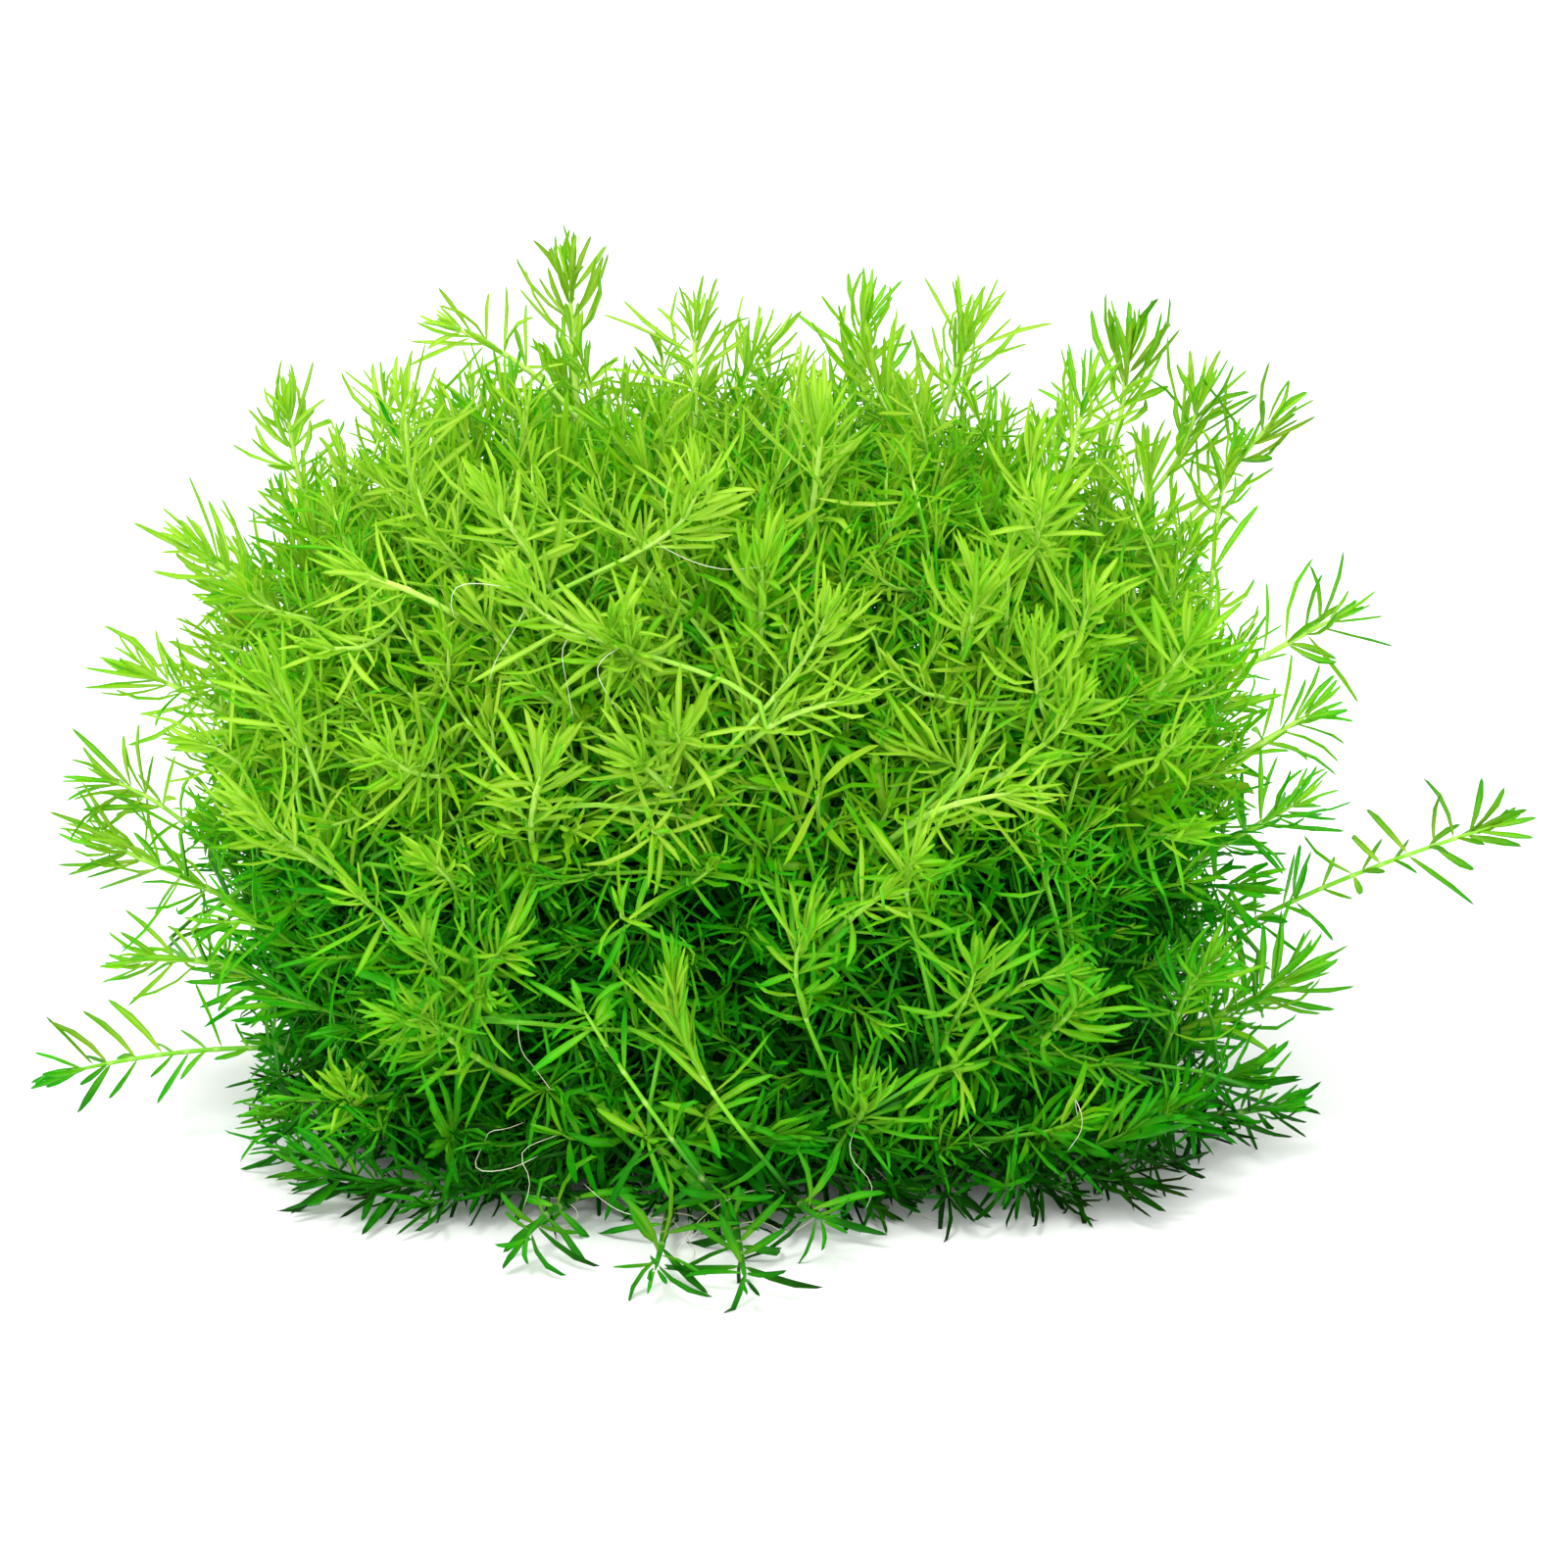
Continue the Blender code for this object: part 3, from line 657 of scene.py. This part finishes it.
def add_leaf(
        leaves, stem, distance, around, lean, length, width, bend, youth, tone, bright, hook=0.0, roll=0.0):
    """Adds a leaf at a distance from a stem's foot, turned around it and leaning away from its tip."""
    p, t, s, u = (v[0] for v in stem.at(distance))
    out = cos(around) * s + sin(around) * u
    way = cos(lean) * t + sin(lean) * out
    up = t - way * (t @ way)
    if norm(up) < 0.05:
        up = -out
    root = p + out * stem.radius(distance) * ROOTED_AT
    if root[2] + way[2] * length < LOWEST_TIP:
        way = unit(np.append(way[:2], max(way[2], (LIFTED_TIP - root[2]) / length)))
    up = unit(up - way * (up @ way))
    up = up * cos(roll) + np.cross(way, up) * sin(roll)
    middle = root + way * length * 0.6
    # Painted shade for leaves that stand out of the clump, carried as youth below zero
    proud_darkening = (1 - youth) * float(rising(depth_share(middle), PROUD_SHADE_RISE))
    leaves.append(SimpleNamespace(
        root=root, way=way, up=up, length=length, width=width, bend=bend, hook=hook,
        sway=draw(0, 0.25), twist=draw(0, 0.6), youth=youth - proud_darkening, tone=tone,
        light=float(np.clip(light_at(middle) + bright, 0, 1)),
    ))


def grow_crown(leaves, shoot):
    """Whorls of leaves down a shoot: upright needles at the tip, wide leaning leaves further back."""
    habit, stem = HABITS[shoot.habit], shoot.stem
    size = between(0.88, 1.1)
    turn = between(0, 2 * pi)
    shoot_tone = draw(0, 0.5)
    broad = between(0.85, 1.15) * habit.width
    curl = habit.curl + draw(0, 0.2)
    hook = habit.hook + draw(0, 0.2)
    heart = SEEN_HEART if shoot.detail == 2 else FILL_HEART
    for n, d in enumerate(whorl_distances(habit, stem.length)):
        p = stem.at(stem.length - d)[0][0]
        if depth_share(p) < BARE_INSIDE and not shoot.main:
            continue
        grown = smooth_step((d + heart) / GROWN_BY)
        lean = radians(HEART_LEAN + (habit.lean - HEART_LEAN) * (1 - exp(-d / habit.settle)))
        length = habit.length * size * (0.34 + 0.66 * grown)
        width = LEAF_WIDTH * broad * (0.66 + 0.34 * grown) * (1.10 - 0.12 * smooth_step(p[2] / 90))
        old = d > OLD_FROM
        wild = habit.wild * (0.4 + 0.6 * grown)
        count = min(habit.count, 3 + n)
        turn += pi / count + draw(0, 0.16)
        for k in range(count):
            if old and RANDOM.random() < OLD_LOST:
                continue
            add_leaf(
                leaves, stem, stem.length - d,
                around=turn + 2 * pi * k / count + draw(0, 0.26 * wild),
                lean=lean + draw(0, (0.17 + 0.1 * old) * wild),
                length=length * between(0.62, 1.22),
                width=width * between(0.80, 1.18),
                bend=draw(curl * grown, (0.26 + 0.1 * old) * wild),
                youth=habit.young * (1 - grown) ** 1.2,
                tone=0.6 * shoot_tone + draw(0, 0.6),
                bright=shoot.bright,
                hook=draw(hook * grown, 0.32 * wild),
                roll=draw(0, 0.42 * wild),
            )


def grow_runner(leaves, shoot, table):
    """A runner's leaves: those of its table, short ones to the sides, and full whorls near the clump."""
    stem = shoot.stem
    up_turn = pi / 2 if stem.at(stem.length)[3][0][2] > 0 else -pi / 2
    facing = -np.sign(stem.tangents[-1][0])
    for d, lean, length in table:
        add_leaf(
            leaves, stem, stem.length - d,
            around=(up_turn if lean > 0 else -up_turn) + draw(0, 0.15),
            lean=radians(abs(lean)), length=length, width=LEAF_WIDTH * 1.25,
            bend=draw(0.2, 0.3), youth=0.5 if d < 4 else 0.1, tone=draw(0, 0.4),
            bright=shoot.bright, hook=draw(0.2, 0.4),
            roll=facing * np.sign(lean) * between(0.4, 1.3),
        )
    to_the_sides = [
        (d, side, 0.25, min(20 + 5 * d, 66), (6, 10), 0.95, 0.3 if d < 5 else 0.05, shoot.bright)
        for d in RUNNER_SIDE_LEAVES for side in (0, pi)
    ]
    whorled = [
        (d, k * pi / 2, 0.3, 70, (9, 12.5), 1.05, 0, 0)
        for d in RUNNER_FULL_WHORLS for k in range(4)
    ]
    for d, around, spread, lean, lengths, width, youth, bright in to_the_sides + whorled:
        add_leaf(
            leaves, stem, stem.length - d, around=around + draw(0, spread),
            lean=radians(lean), length=between(*lengths), width=LEAF_WIDTH * width,
            bend=draw(0.2, 0.15), youth=youth, tone=draw(0, 0.4), bright=bright,
        )


def in_scene(name, data):
    """An object that is in the scene, made of its data."""
    made = bpy.data.objects.new(name, data)
    bpy.context.scene.collection.objects.link(made)
    return made


class Growth:
    """Vertices, faces, map places and the two attributes of a piece, gathered part by part."""

    def __init__(self):
        self.points, self.growth, self.blade = [], [], []
        self.faces = {4: [], 3: []}
        self.count = self.cells = 0

    def add(self, points, tube, slot, growth, blade):
        """Adds tubes with pointed ends that all have the same rings; tube is from tube_faces."""
        for sides, (faces, corners, cells) in tube.items():
            own_slot = np.full(len(faces), slot)
            self.faces[sides].append((faces + self.count, corners, cells + self.cells, own_slot))
        self.points.append(points)
        self.growth.append(growth)
        self.blade.append(blade)
        self.count += len(points)
        self.cells += int(tube[4][2].max()) + 1

    def make(self, name, materials):
        """The mesh object of the piece, with a map that gives each tube a cell of its own."""
        def flat(rows, kind):
            return np.concatenate(rows).astype(kind).ravel()

        points = np.concatenate(self.points)
        points[:, 2] = np.maximum(points[:, 2], 0.0)
        grid = ceil(sqrt(self.cells))
        loops, places, starts, slots, start = [], [], [], [], 0
        for n, rows in self.faces.items():
            faces, corners, cells, own_slots = (np.concatenate(column) for column in zip(*rows))
            loops.append(faces.ravel())
            starts.append(start + n * np.arange(len(faces)))
            start += faces.size
            slots.append(own_slots)
            cell = np.stack([cells % grid, cells // grid], axis=1)[:, None]
            places.append(((cell + MAP_MARGIN + (1 - 2 * MAP_MARGIN) * corners) / grid).reshape(-1, 2))
        mesh = bpy.data.meshes.new(name)
        mesh.vertices.add(len(points))
        mesh.vertices.foreach_set("co", (points * MM).astype(np.float32).ravel())
        mesh.loops.add(start)
        mesh.loops.foreach_set("vertex_index", flat(loops, np.int32))
        mesh.polygons.add(sum(len(s) for s in starts))
        mesh.polygons.foreach_set("loop_start", flat(starts, np.int32))
        for m in materials:
            mesh.materials.append(m)
        mesh.polygons.foreach_set("material_index", flat(slots, np.int32))
        mesh.update(calc_edges=True)
        layer = mesh.uv_layers.new(name="OFBake")
        layer.data.foreach_set("uv", flat(places, np.float32))
        # The growth attribute carries the painted light first, then youth and tone for leaves, or the share
        # along a stem
        for key, rows in (("growth", self.growth), ("blade", self.blade)):
            values = mesh.attributes.new(key, "FLOAT_VECTOR", "POINT")
            values.data.foreach_set("vector", flat(rows, np.float32))
        mesh.shade_smooth()
        mesh.set_sharp_from_angle(angle=SHARP_FROM)
        return in_scene(name, mesh)


def tube_faces(parts, heights, sides):
    """Faces, map corners and cell of closed tubes whose points run part by part: root, rings, tip."""
    rings = len(heights) - 2
    j = np.arange(sides)
    nxt = (j + 1) % sides
    k = np.repeat(np.arange(rings - 1), sides)
    near, far = k * sides, (k + 1) * sides
    jj, nn = np.tile(j, rings - 1), np.tile(nxt, rings - 1)
    quads = 1 + np.stack([near + jj, near + nn, far + nn, far + jj], axis=1)
    last = 1 + (rings - 1) * sides
    roots = np.stack([np.zeros(sides, int), 1 + nxt, 1 + j], axis=1)
    tips = np.stack([np.full(sides, last + sides), last + j, last + nxt], axis=1)

    def corners(*places):
        return np.stack([np.stack(place, axis=1) for place in places], axis=1)

    h = np.asarray(heights, float)
    left, right = jj / sides, (jj + 1) / sides
    low, high = h[1 + k], h[2 + k]
    quad_map = corners((left, low), (right, low), (right, high), (left, high))
    left, right, middle = j / sides, (j + 1) / sides, (j + 0.5) / sides
    flat = np.ones(sides)
    root_map = corners((middle, flat * h[0]), (right, flat * h[1]), (left, flat * h[1]))
    tip_map = corners((middle, flat * h[-1]), (left, flat * h[-2]), (right, flat * h[-2]))
    size = 2 + rings * sides
    tube = {}
    ends, end_map = np.concatenate([roots, tips]), np.concatenate([root_map, tip_map])
    for one, places in ((quads, quad_map), (ends, end_map)):
        faces = (one[None] + (np.arange(parts) * size)[:, None, None]).reshape(-1, one.shape[1])
        tube[one.shape[1]] = (faces, np.tile(places, (parts, 1, 1)), np.repeat(np.arange(parts), len(one)))
    return tube


def around_rings(ends, rings):
    """Values of tubes in the order of their points: at the root, at each ring's points and at the tip."""
    n, r, sides, width = rings.shape
    root, tip = ends
    rows = [root[:, None], rings.reshape(n, r * sides, width), tip[:, None]]
    return np.concatenate(rows, axis=1).reshape(-1, width)


def add_blades(growth, leaves, blade_form):
    """Closed leaf blades: a shallow fold along the midrib, widest past the middle, with a short tip."""
    a = columns(leaves)
    rings, widths, section = blade_form
    n, r, sides = len(a.length), len(rings), len(section)
    side = np.cross(a.way, a.up)

    def bend_at(share):
        return (a.bend * share + a.hook * share * share)[:, None]

    centre = np.zeros((n, r, 3))
    centre[:, 0] = a.root
    points = np.zeros((n, r, sides, 3))
    for k in range(r):
        if k:
            middle = (rings[k] + rings[k - 1]) / 2
            bend, sway = bend_at(middle), (a.sway * middle)[:, None]
            way = a.way * np.cos(bend) + a.up * np.sin(bend)
            way = way * np.cos(sway) + side * np.sin(sway)
            centre[:, k] = centre[:, k - 1] + way * (a.length * (rings[k] - rings[k - 1]))[:, None]
        bend, turn = bend_at(rings[k]), (a.twist * rings[k])[:, None]
        normal = a.up * np.cos(bend) - a.way * np.sin(bend)
        across = side * np.cos(turn) + normal * np.sin(turn)
        normal = normal * np.cos(turn) - side * np.sin(turn)
        half = (a.width * widths[k] / 2)[:, None]
        thick = LEAF_THICKNESS * (0.6 + 0.4 * widths[k])
        for j, (out, lift, depth, _, _) in enumerate(section):
            raised = half * FOLD * lift + thick * depth
            points[:, k, j] = centre[:, k] + across * half * out + normal * raised
    along = np.broadcast_to(np.array(rings)[:, None], (r, sides))
    blade = np.stack([along, *(np.broadcast_to(section[:, c], (r, sides)) for c in (3, 4))], axis=-1)
    blade = np.broadcast_to(blade[None], (n, r, sides, 3))
    own = np.stack([a.light, a.youth, a.tone], axis=-1)
    own = np.broadcast_to(own[:, None, None], (n, r, sides, 3))
    rows = [around_rings((v[:, 0, 0], v[:, -1, 0]), v[:, 1:-1]) for v in (own, blade)]
    ends = centre[:, 0], centre[:, -1]
    growth.add(around_rings(ends, points[:, 1:-1]), tube_faces(n, rings, sides), LEAF_SLOT, *rows)


def add_tube(growth, stem, stations, radii, slot, bright, sides):
    """A stem as a tube, with a ring at each station but the first and last, where it closes to a point."""
    p, _, s, u = stem.at(stations)
    angle = np.arange(sides) * 2 * pi / sides
    ring = np.cos(angle)[None, :, None] * s[:, None] + np.sin(angle)[None, :, None] * u[:, None]
    points = p[:, None] + ring * radii[:, None, None]
    r = len(stations)
    share = stations / stem.length
    own = np.stack([np.clip(light_at(p) + bright, 0, 1), share, np.zeros(r)], axis=-1)
    swollen = np.clip(radii / stem.radius(stations) - 1, 0, 1) * 5
    blade = np.stack([share, swollen, np.zeros(r)], axis=-1)
    rows = []
    for values in (own, blade):
        around = np.broadcast_to(values[:, None], (r, sides, 3))
        rows.append(around_rings((values[None, 0], values[None, -1]), around[None, 1:-1]))
    ends = p[None, 0], p[None, -1]
    growth.add(around_rings(ends, points[None, 1:-1]), tube_faces(1, share, sides), slot, *rows)


def grow_stem(growth, shoot):
    """The stem of a shoot, a little swollen at each whorl and drawn in at its tip."""
    stem = shoot.stem
    plain = shoot.detail < 2
    if shoot.habit == "runner":
        whorls = RUNNER_WHORLS
    else:
        whorls = [d for d in whorl_distances(HABITS[shoot.habit], stem.length) if d > 6]
    rows = []
    for d in () if plain else whorls:
        rows += [(stem.length - d - 0.8, 1.0), (stem.length - d, 1.2), (stem.length - d + 0.8, 1.0)]
    bare = stem.length - (6 if plain else max(whorls) + 2.0)
    bends = 7 if shoot.main else 5
    rows += [(bare * k / bends, 1.0) for k in range(1, bends + 1)]
    rows += [(stem.length - 2.5, 0.8), (stem.length - 0.6, 0.3)]
    rows = [(0.0, 0.0), (0.0, 1.0)] + sorted(r for r in rows if r[0] > 0.1) + [(stem.length, 0.0)]
    stations = np.array([r[0] for r in rows])
    radii = stem.radius(stations) * np.array([r[1] for r in rows])
    sides = 8 if shoot.main else 4 if plain else 6
    add_tube(growth, stem, stations, radii, STEM_SLOT, 0.3 * shoot.bright, sides)


def grow_roots(growth, shoot, threads):
    """Thin white roots that hang from a stem's lower whorls, and those that show in front of the leaves."""
    stem = shoot.stem
    lines = list(threads)
    for _ in range(RANDOM.integers(2, 5)):
        start_at = between(10, min(44, stem.length * 0.5))
        p, _, s, u = (v[0] for v in stem.at(start_at))
        turn = between(0, 2 * pi)
        way = unit(cos(turn) * s + sin(turn) * u + np.array([0, 0, -0.2]))
        step = between(12, 30) / 4
        knots = [p]
        for _ in range(4):
            way = unit(way + draw(0, 0.55, 3) + np.array([0, 0, -0.35]))
            knots.append(knots[-1] + way * step)
        lines.append(np.array(knots))
    for knots in lines:
        knots[:, 2] = np.maximum(knots[:, 2], 0.4)
        root = Stem(evenly(smooth_line(knots), ROOT_STATIONS), *ROOT_RADII)
        stations = np.linspace(0, root.length, ROOT_STATIONS)
        add_tube(growth, root, stations, root.radius(stations), ROOT_SLOT, 0.1, 4)


def threads_of(shoots):
    """The roots seen in front of the leaves, each led back to the nearest stem, by that stem's node."""
    threads = {}
    for knots in THREADS:
        knots = np.array(knots, float)
        near = [norm(s.stem.path - knots[0], axis=1) for s in shoots]
        shoot = min(range(len(shoots)), key=lambda k: near[k].min())
        start = shoots[shoot].stem.path[int(np.argmin(near[shoot]))]
        threads.setdefault(shoots[shoot].node, []).append(np.vstack([start, knots]))
    return threads


def smooth_line(knots):
    """A rounded path through knots, by cutting corners twice."""
    for _ in range(2):
        near, far = 0.75 * knots[:-1] + 0.25 * knots[1:], 0.25 * knots[:-1] + 0.75 * knots[1:]
        cut = np.stack([near, far], axis=1).reshape(-1, 3)
        knots = np.vstack([knots[:1], cut, knots[-1:]])
    return knots


def node(tree, kind, **settings):
    made = tree.nodes.new(kind)
    for key, value in settings.items():
        setattr(made, key, value)
    return made


def fill(sockets, values):
    """Gives each socket its value, which may be a plain one or a node's output."""
    for socket, value in zip(sockets, values):
        if isinstance(value, (int, float, tuple)):
            socket.default_value = value
        else:
            socket.id_data.links.new(value, socket)


def tree_of(*values):
    """The node tree of the first value that is a node's output."""
    return next(v.id_data for v in values if not isinstance(v, (int, float, tuple)))


def maths(operation, a, b, clamp=False):
    made = node(tree_of(a, b), "ShaderNodeMath", operation=operation, use_clamp=clamp)
    fill(made.inputs, (a, b))
    return made.outputs[0]


def mixed(factor, a, b):
    tree = tree_of(factor, a, b)
    made = node(tree, "ShaderNodeMix", data_type="RGBA", blend_type="MIX", clamp_factor=True)
    fill((made.inputs[0], made.inputs[6], made.inputs[7]), (factor, a, b))
    return made.outputs[2]


def plus(a, b):
    return maths("ADD", a, b)


def minus(a, b):
    return maths("SUBTRACT", a, b)


def times(a, b, clamp=False):
    return maths("MULTIPLY", a, b, clamp)


def power(a, b, clamp=False):
    return maths("POWER", a, b, clamp)


def attribute(tree, name):
    read = node(tree, "ShaderNodeAttribute", attribute_name=name)
    split = node(tree, "ShaderNodeSeparateXYZ")
    fill(split.inputs, (read.outputs["Vector"],))
    return split.outputs


def ramp(factor, stops):
    made = node(tree_of(factor), "ShaderNodeValToRGB")
    elements = made.color_ramp.elements
    while len(elements) < len(stops):
        elements.new(0.5)
    for element, (place, colour) in zip(elements, stops):
        element.position = place
        element.color = (*colour, 1)
    fill(made.inputs, (factor,))
    return made.outputs[0]


def noise(tree, scale, detail=2.0, stretch=(1, 1, 1)):
    place = node(tree, "ShaderNodeTexCoord")
    scaled = node(tree, "ShaderNodeMapping")
    scaled.inputs["Scale"].default_value = stretch
    made = node(tree, "ShaderNodeTexNoise")
    made.inputs["Scale"].default_value = scale
    made.inputs["Detail"].default_value = detail
    tree.links.new(place.outputs["Object"], scaled.inputs[0])
    tree.links.new(scaled.outputs[0], made.inputs["Vector"])
    return made.outputs["Fac"]


def new_material(name):
    material = bpy.data.materials.new(name)
    material.use_nodes = True
    material.node_tree.nodes.clear()
    return material, material.node_tree


def principled(tree, colour, roughness, specular=0.5):
    shader = node(tree, "ShaderNodeBsdfPrincipled")
    sockets = (shader.inputs[name] for name in ("Base Color", "Roughness", "Specular IOR Level"))
    fill(sockets, (colour, roughness, specular))
    return shader


def add_bump(shader, height, strength):
    bump = node(tree_of(height), "ShaderNodeBump")
    sockets = (bump.inputs[name] for name in ("Strength", "Distance", "Height"))
    fill(sockets, (strength, BUMP_DEPTH, height))
    fill((shader.inputs["Normal"],), bump.outputs)


def finish(shader):
    out = node(shader.id_data, "ShaderNodeOutputMaterial")
    fill((out.inputs["Surface"],), shader.outputs)


def leaf_material():
    """Leaf tissue with painted light and shade: deep green low down, yellow-green in the light, a paler
    midrib with a painted highlight, young hearts.
    """
    material, tree = new_material("leaf_tissue")
    light, youth, tone = attribute(tree, "growth")[:3]
    along, rib, upper = attribute(tree, "blade")[:3]
    cloud = minus(noise(tree, 260.0), 0.5)
    shade = plus(light, times(cloud, 0.26))
    shade = plus(shade, times(tone, 0.11))
    shade = plus(shade, times(minus(0.45, along), 0.16))
    bright = power(shade, 2.0, clamp=True)
    # Painted light and shade: the light attribute, shifted by noise, tone and place along the leaf, picks
    # the green
    colour = ramp(shade, LEAF_GREENS)

    fresh = times(youth, times(shade, 0.95), clamp=True)
    colour = mixed(fresh, colour, YOUNG_GREEN)
    foot = times(power(minus(1.0, along), 2.0), 0.7)
    colour = mixed(times(foot, bright), colour, FOOT_GREEN)
    # A paler midrib, partly a painted highlight: whitish, and stronger where the painted light is stronger
    midrib_highlight = times(power(rib, 5.0), 0.6)
    colour = mixed(times(midrib_highlight, bright), colour, MIDRIB_HIGHLIGHT_GREEN)
    rim = maths("MAXIMUM", power(minus(1.0, rib), 3.0), power(along, 7.0))
    colour = mixed(times(rim, 0.45), colour, mixed(0.65, colour, RIM_GREEN))
    under = times(minus(1.0, upper), times(shade, 0.2), clamp=True)
    colour = mixed(under, colour, UNDER_GREEN)
    # Painted shade on leaves that stand well out of the clump: their youth is below zero, which darkens
    # their green and dims their glow
    proud_shade_mix = times(youth, -0.34, clamp=True)
    colour = mixed(proud_shade_mix, colour, PROUD_SHADE_GREEN)

    rough = plus(0.26, times(noise(tree, 900.0), 0.2))
    shader = principled(tree, colour, rough, 0.08)
    add_bump(shader, noise(tree, 1500.0, 3.0), 0.25)
    through = node(tree, "ShaderNodeBsdfTranslucent")
    glow = times(minus(bright, times(proud_shade_mix, 2.0)), 0.5, clamp=True)
    fill((through.inputs["Color"],), (mixed(glow, colour, GLOW_GREEN),))
    mix = node(tree, "ShaderNodeMixShader")
    fill(mix.inputs, (TRANSLUCENT_SHARE, shader.outputs[0], through.outputs[0]))
    finish(mix)
    return material


def stem_material():
    """Stem skin: pale yellow-green near the tips, greener and duller low down in painted shade, paler at
    the whorls.
    """
    material, tree = new_material("stem_skin")
    light, share, _ = attribute(tree, "growth")[:3]
    _, swollen, _ = attribute(tree, "blade")[:3]
    cloud = minus(noise(tree, 180.0), 0.5)
    shade = plus(light, times(cloud, 0.2))
    # Painted shade: darker towards the stem's foot, where the leaves above would shade it
    shade = minus(shade, times(minus(1.0, share), 0.3))
    whorl = times(swollen, 0.35, clamp=True)
    colour = mixed(whorl, ramp(shade, STEM_GREENS), WHORL_GREEN)
    shader = principled(tree, colour, 0.45, 0.2)
    add_bump(shader, noise(tree, 1100.0, 3.0, (1, 1, 0.2)), 0.3)
    finish(shader)
    return material


def root_material():
    """Thread roots: off-white, a little glassy, browner in patches."""
    material, tree = new_material("thread_root")
    finish(principled(tree, ramp(noise(tree, 220.0), ROOT_WHITES), 0.4))
    return material


def build_plant():
    """One piece for each packed stem, with the side shoots that branch off it."""
    parents = main_shoots()
    shoots = parents + side_shoots(parents)
    materials = [leaf_material(), stem_material(), root_material()]
    threads = threads_of(shoots)
    for parent in parents:
        growth = Growth()
        leaves = [[] for _ in BLADES]
        for shoot in (s for s in shoots if s.node == parent.node):
            if shoot.habit == "runner":
                grow_runner(leaves[-1], shoot, RUNNER_LEAVES[shoot.node])
            else:
                grow_crown(leaves[shoot.detail], shoot)
            grow_stem(growth, shoot)
        if parent.node == WITHERED_NODE:
            add_leaf(leaves[-1], parent.stem, parent.stem.length - WITHERED_BACK, **WITHERED_LEAF)
        for rows, form in zip(leaves, BLADES):
            if rows:
                add_blades(growth, rows, form)
        grow_roots(growth, parent, threads.get(parent.node, ()))
        piece = growth.make(parent.node + "_foliage", materials)
        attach(piece, "root")
        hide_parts(parent.node)


def look_along(way):
    """The turn that points a lamp's -Z along a way."""
    x, y, z = unit(way)
    return acos(-z), 0, atan2(-x, y)


def build_floor():
    """A plain white floor."""
    bpy.ops.mesh.primitive_plane_add(size=FLOOR_SIZE)
    floor = bpy.context.object
    floor.name = "floor"
    material, tree = new_material("floor_white")
    finish(principled(tree, FLOOR_WHITE, 0.9, 0.1))
    floor.data.materials.append(material)


def build_light():
    """Soft light from all around, and a little more from above and the front."""
    world = bpy.data.worlds.new("studio")
    bpy.context.scene.world = world
    world.use_nodes = True
    sky = world.node_tree.nodes["Background"]
    sky.inputs["Color"].default_value = (1, 1, 1, 1)
    sky.inputs["Strength"].default_value = SKY_STRENGTH
    for name, place, size, watts in LAMPS:
        lamp = bpy.data.lights.new(name, "AREA")
        lamp.size = size
        lamp.energy = watts
        holder = in_scene(name, lamp)
        holder.location = place
        holder.rotation_euler = look_along(LAMP_AIM - np.array(place))


def build_camera():
    """The camera of the photograph."""
    camera = bpy.data.cameras.new("camera")
    camera.sensor_width = SENSOR_WIDTH
    camera.lens = SENSOR_WIDTH / (2 * VIEW_HALF_WIDTH)
    camera.clip_start = 0.01
    eye = in_scene("camera", camera)
    bpy.context.scene.camera = eye
    back = np.array([0, -cos(VIEW_ELEVATION), sin(VIEW_ELEVATION)])
    eye.location = VIEW_TARGET + back * VIEW_DISTANCE
    eye.rotation_euler = (pi / 2 - VIEW_ELEVATION, 0, 0)
    bpy.context.scene.view_settings.view_transform = "Standard"


build_plant()
build_floor()
build_light()
build_camera()
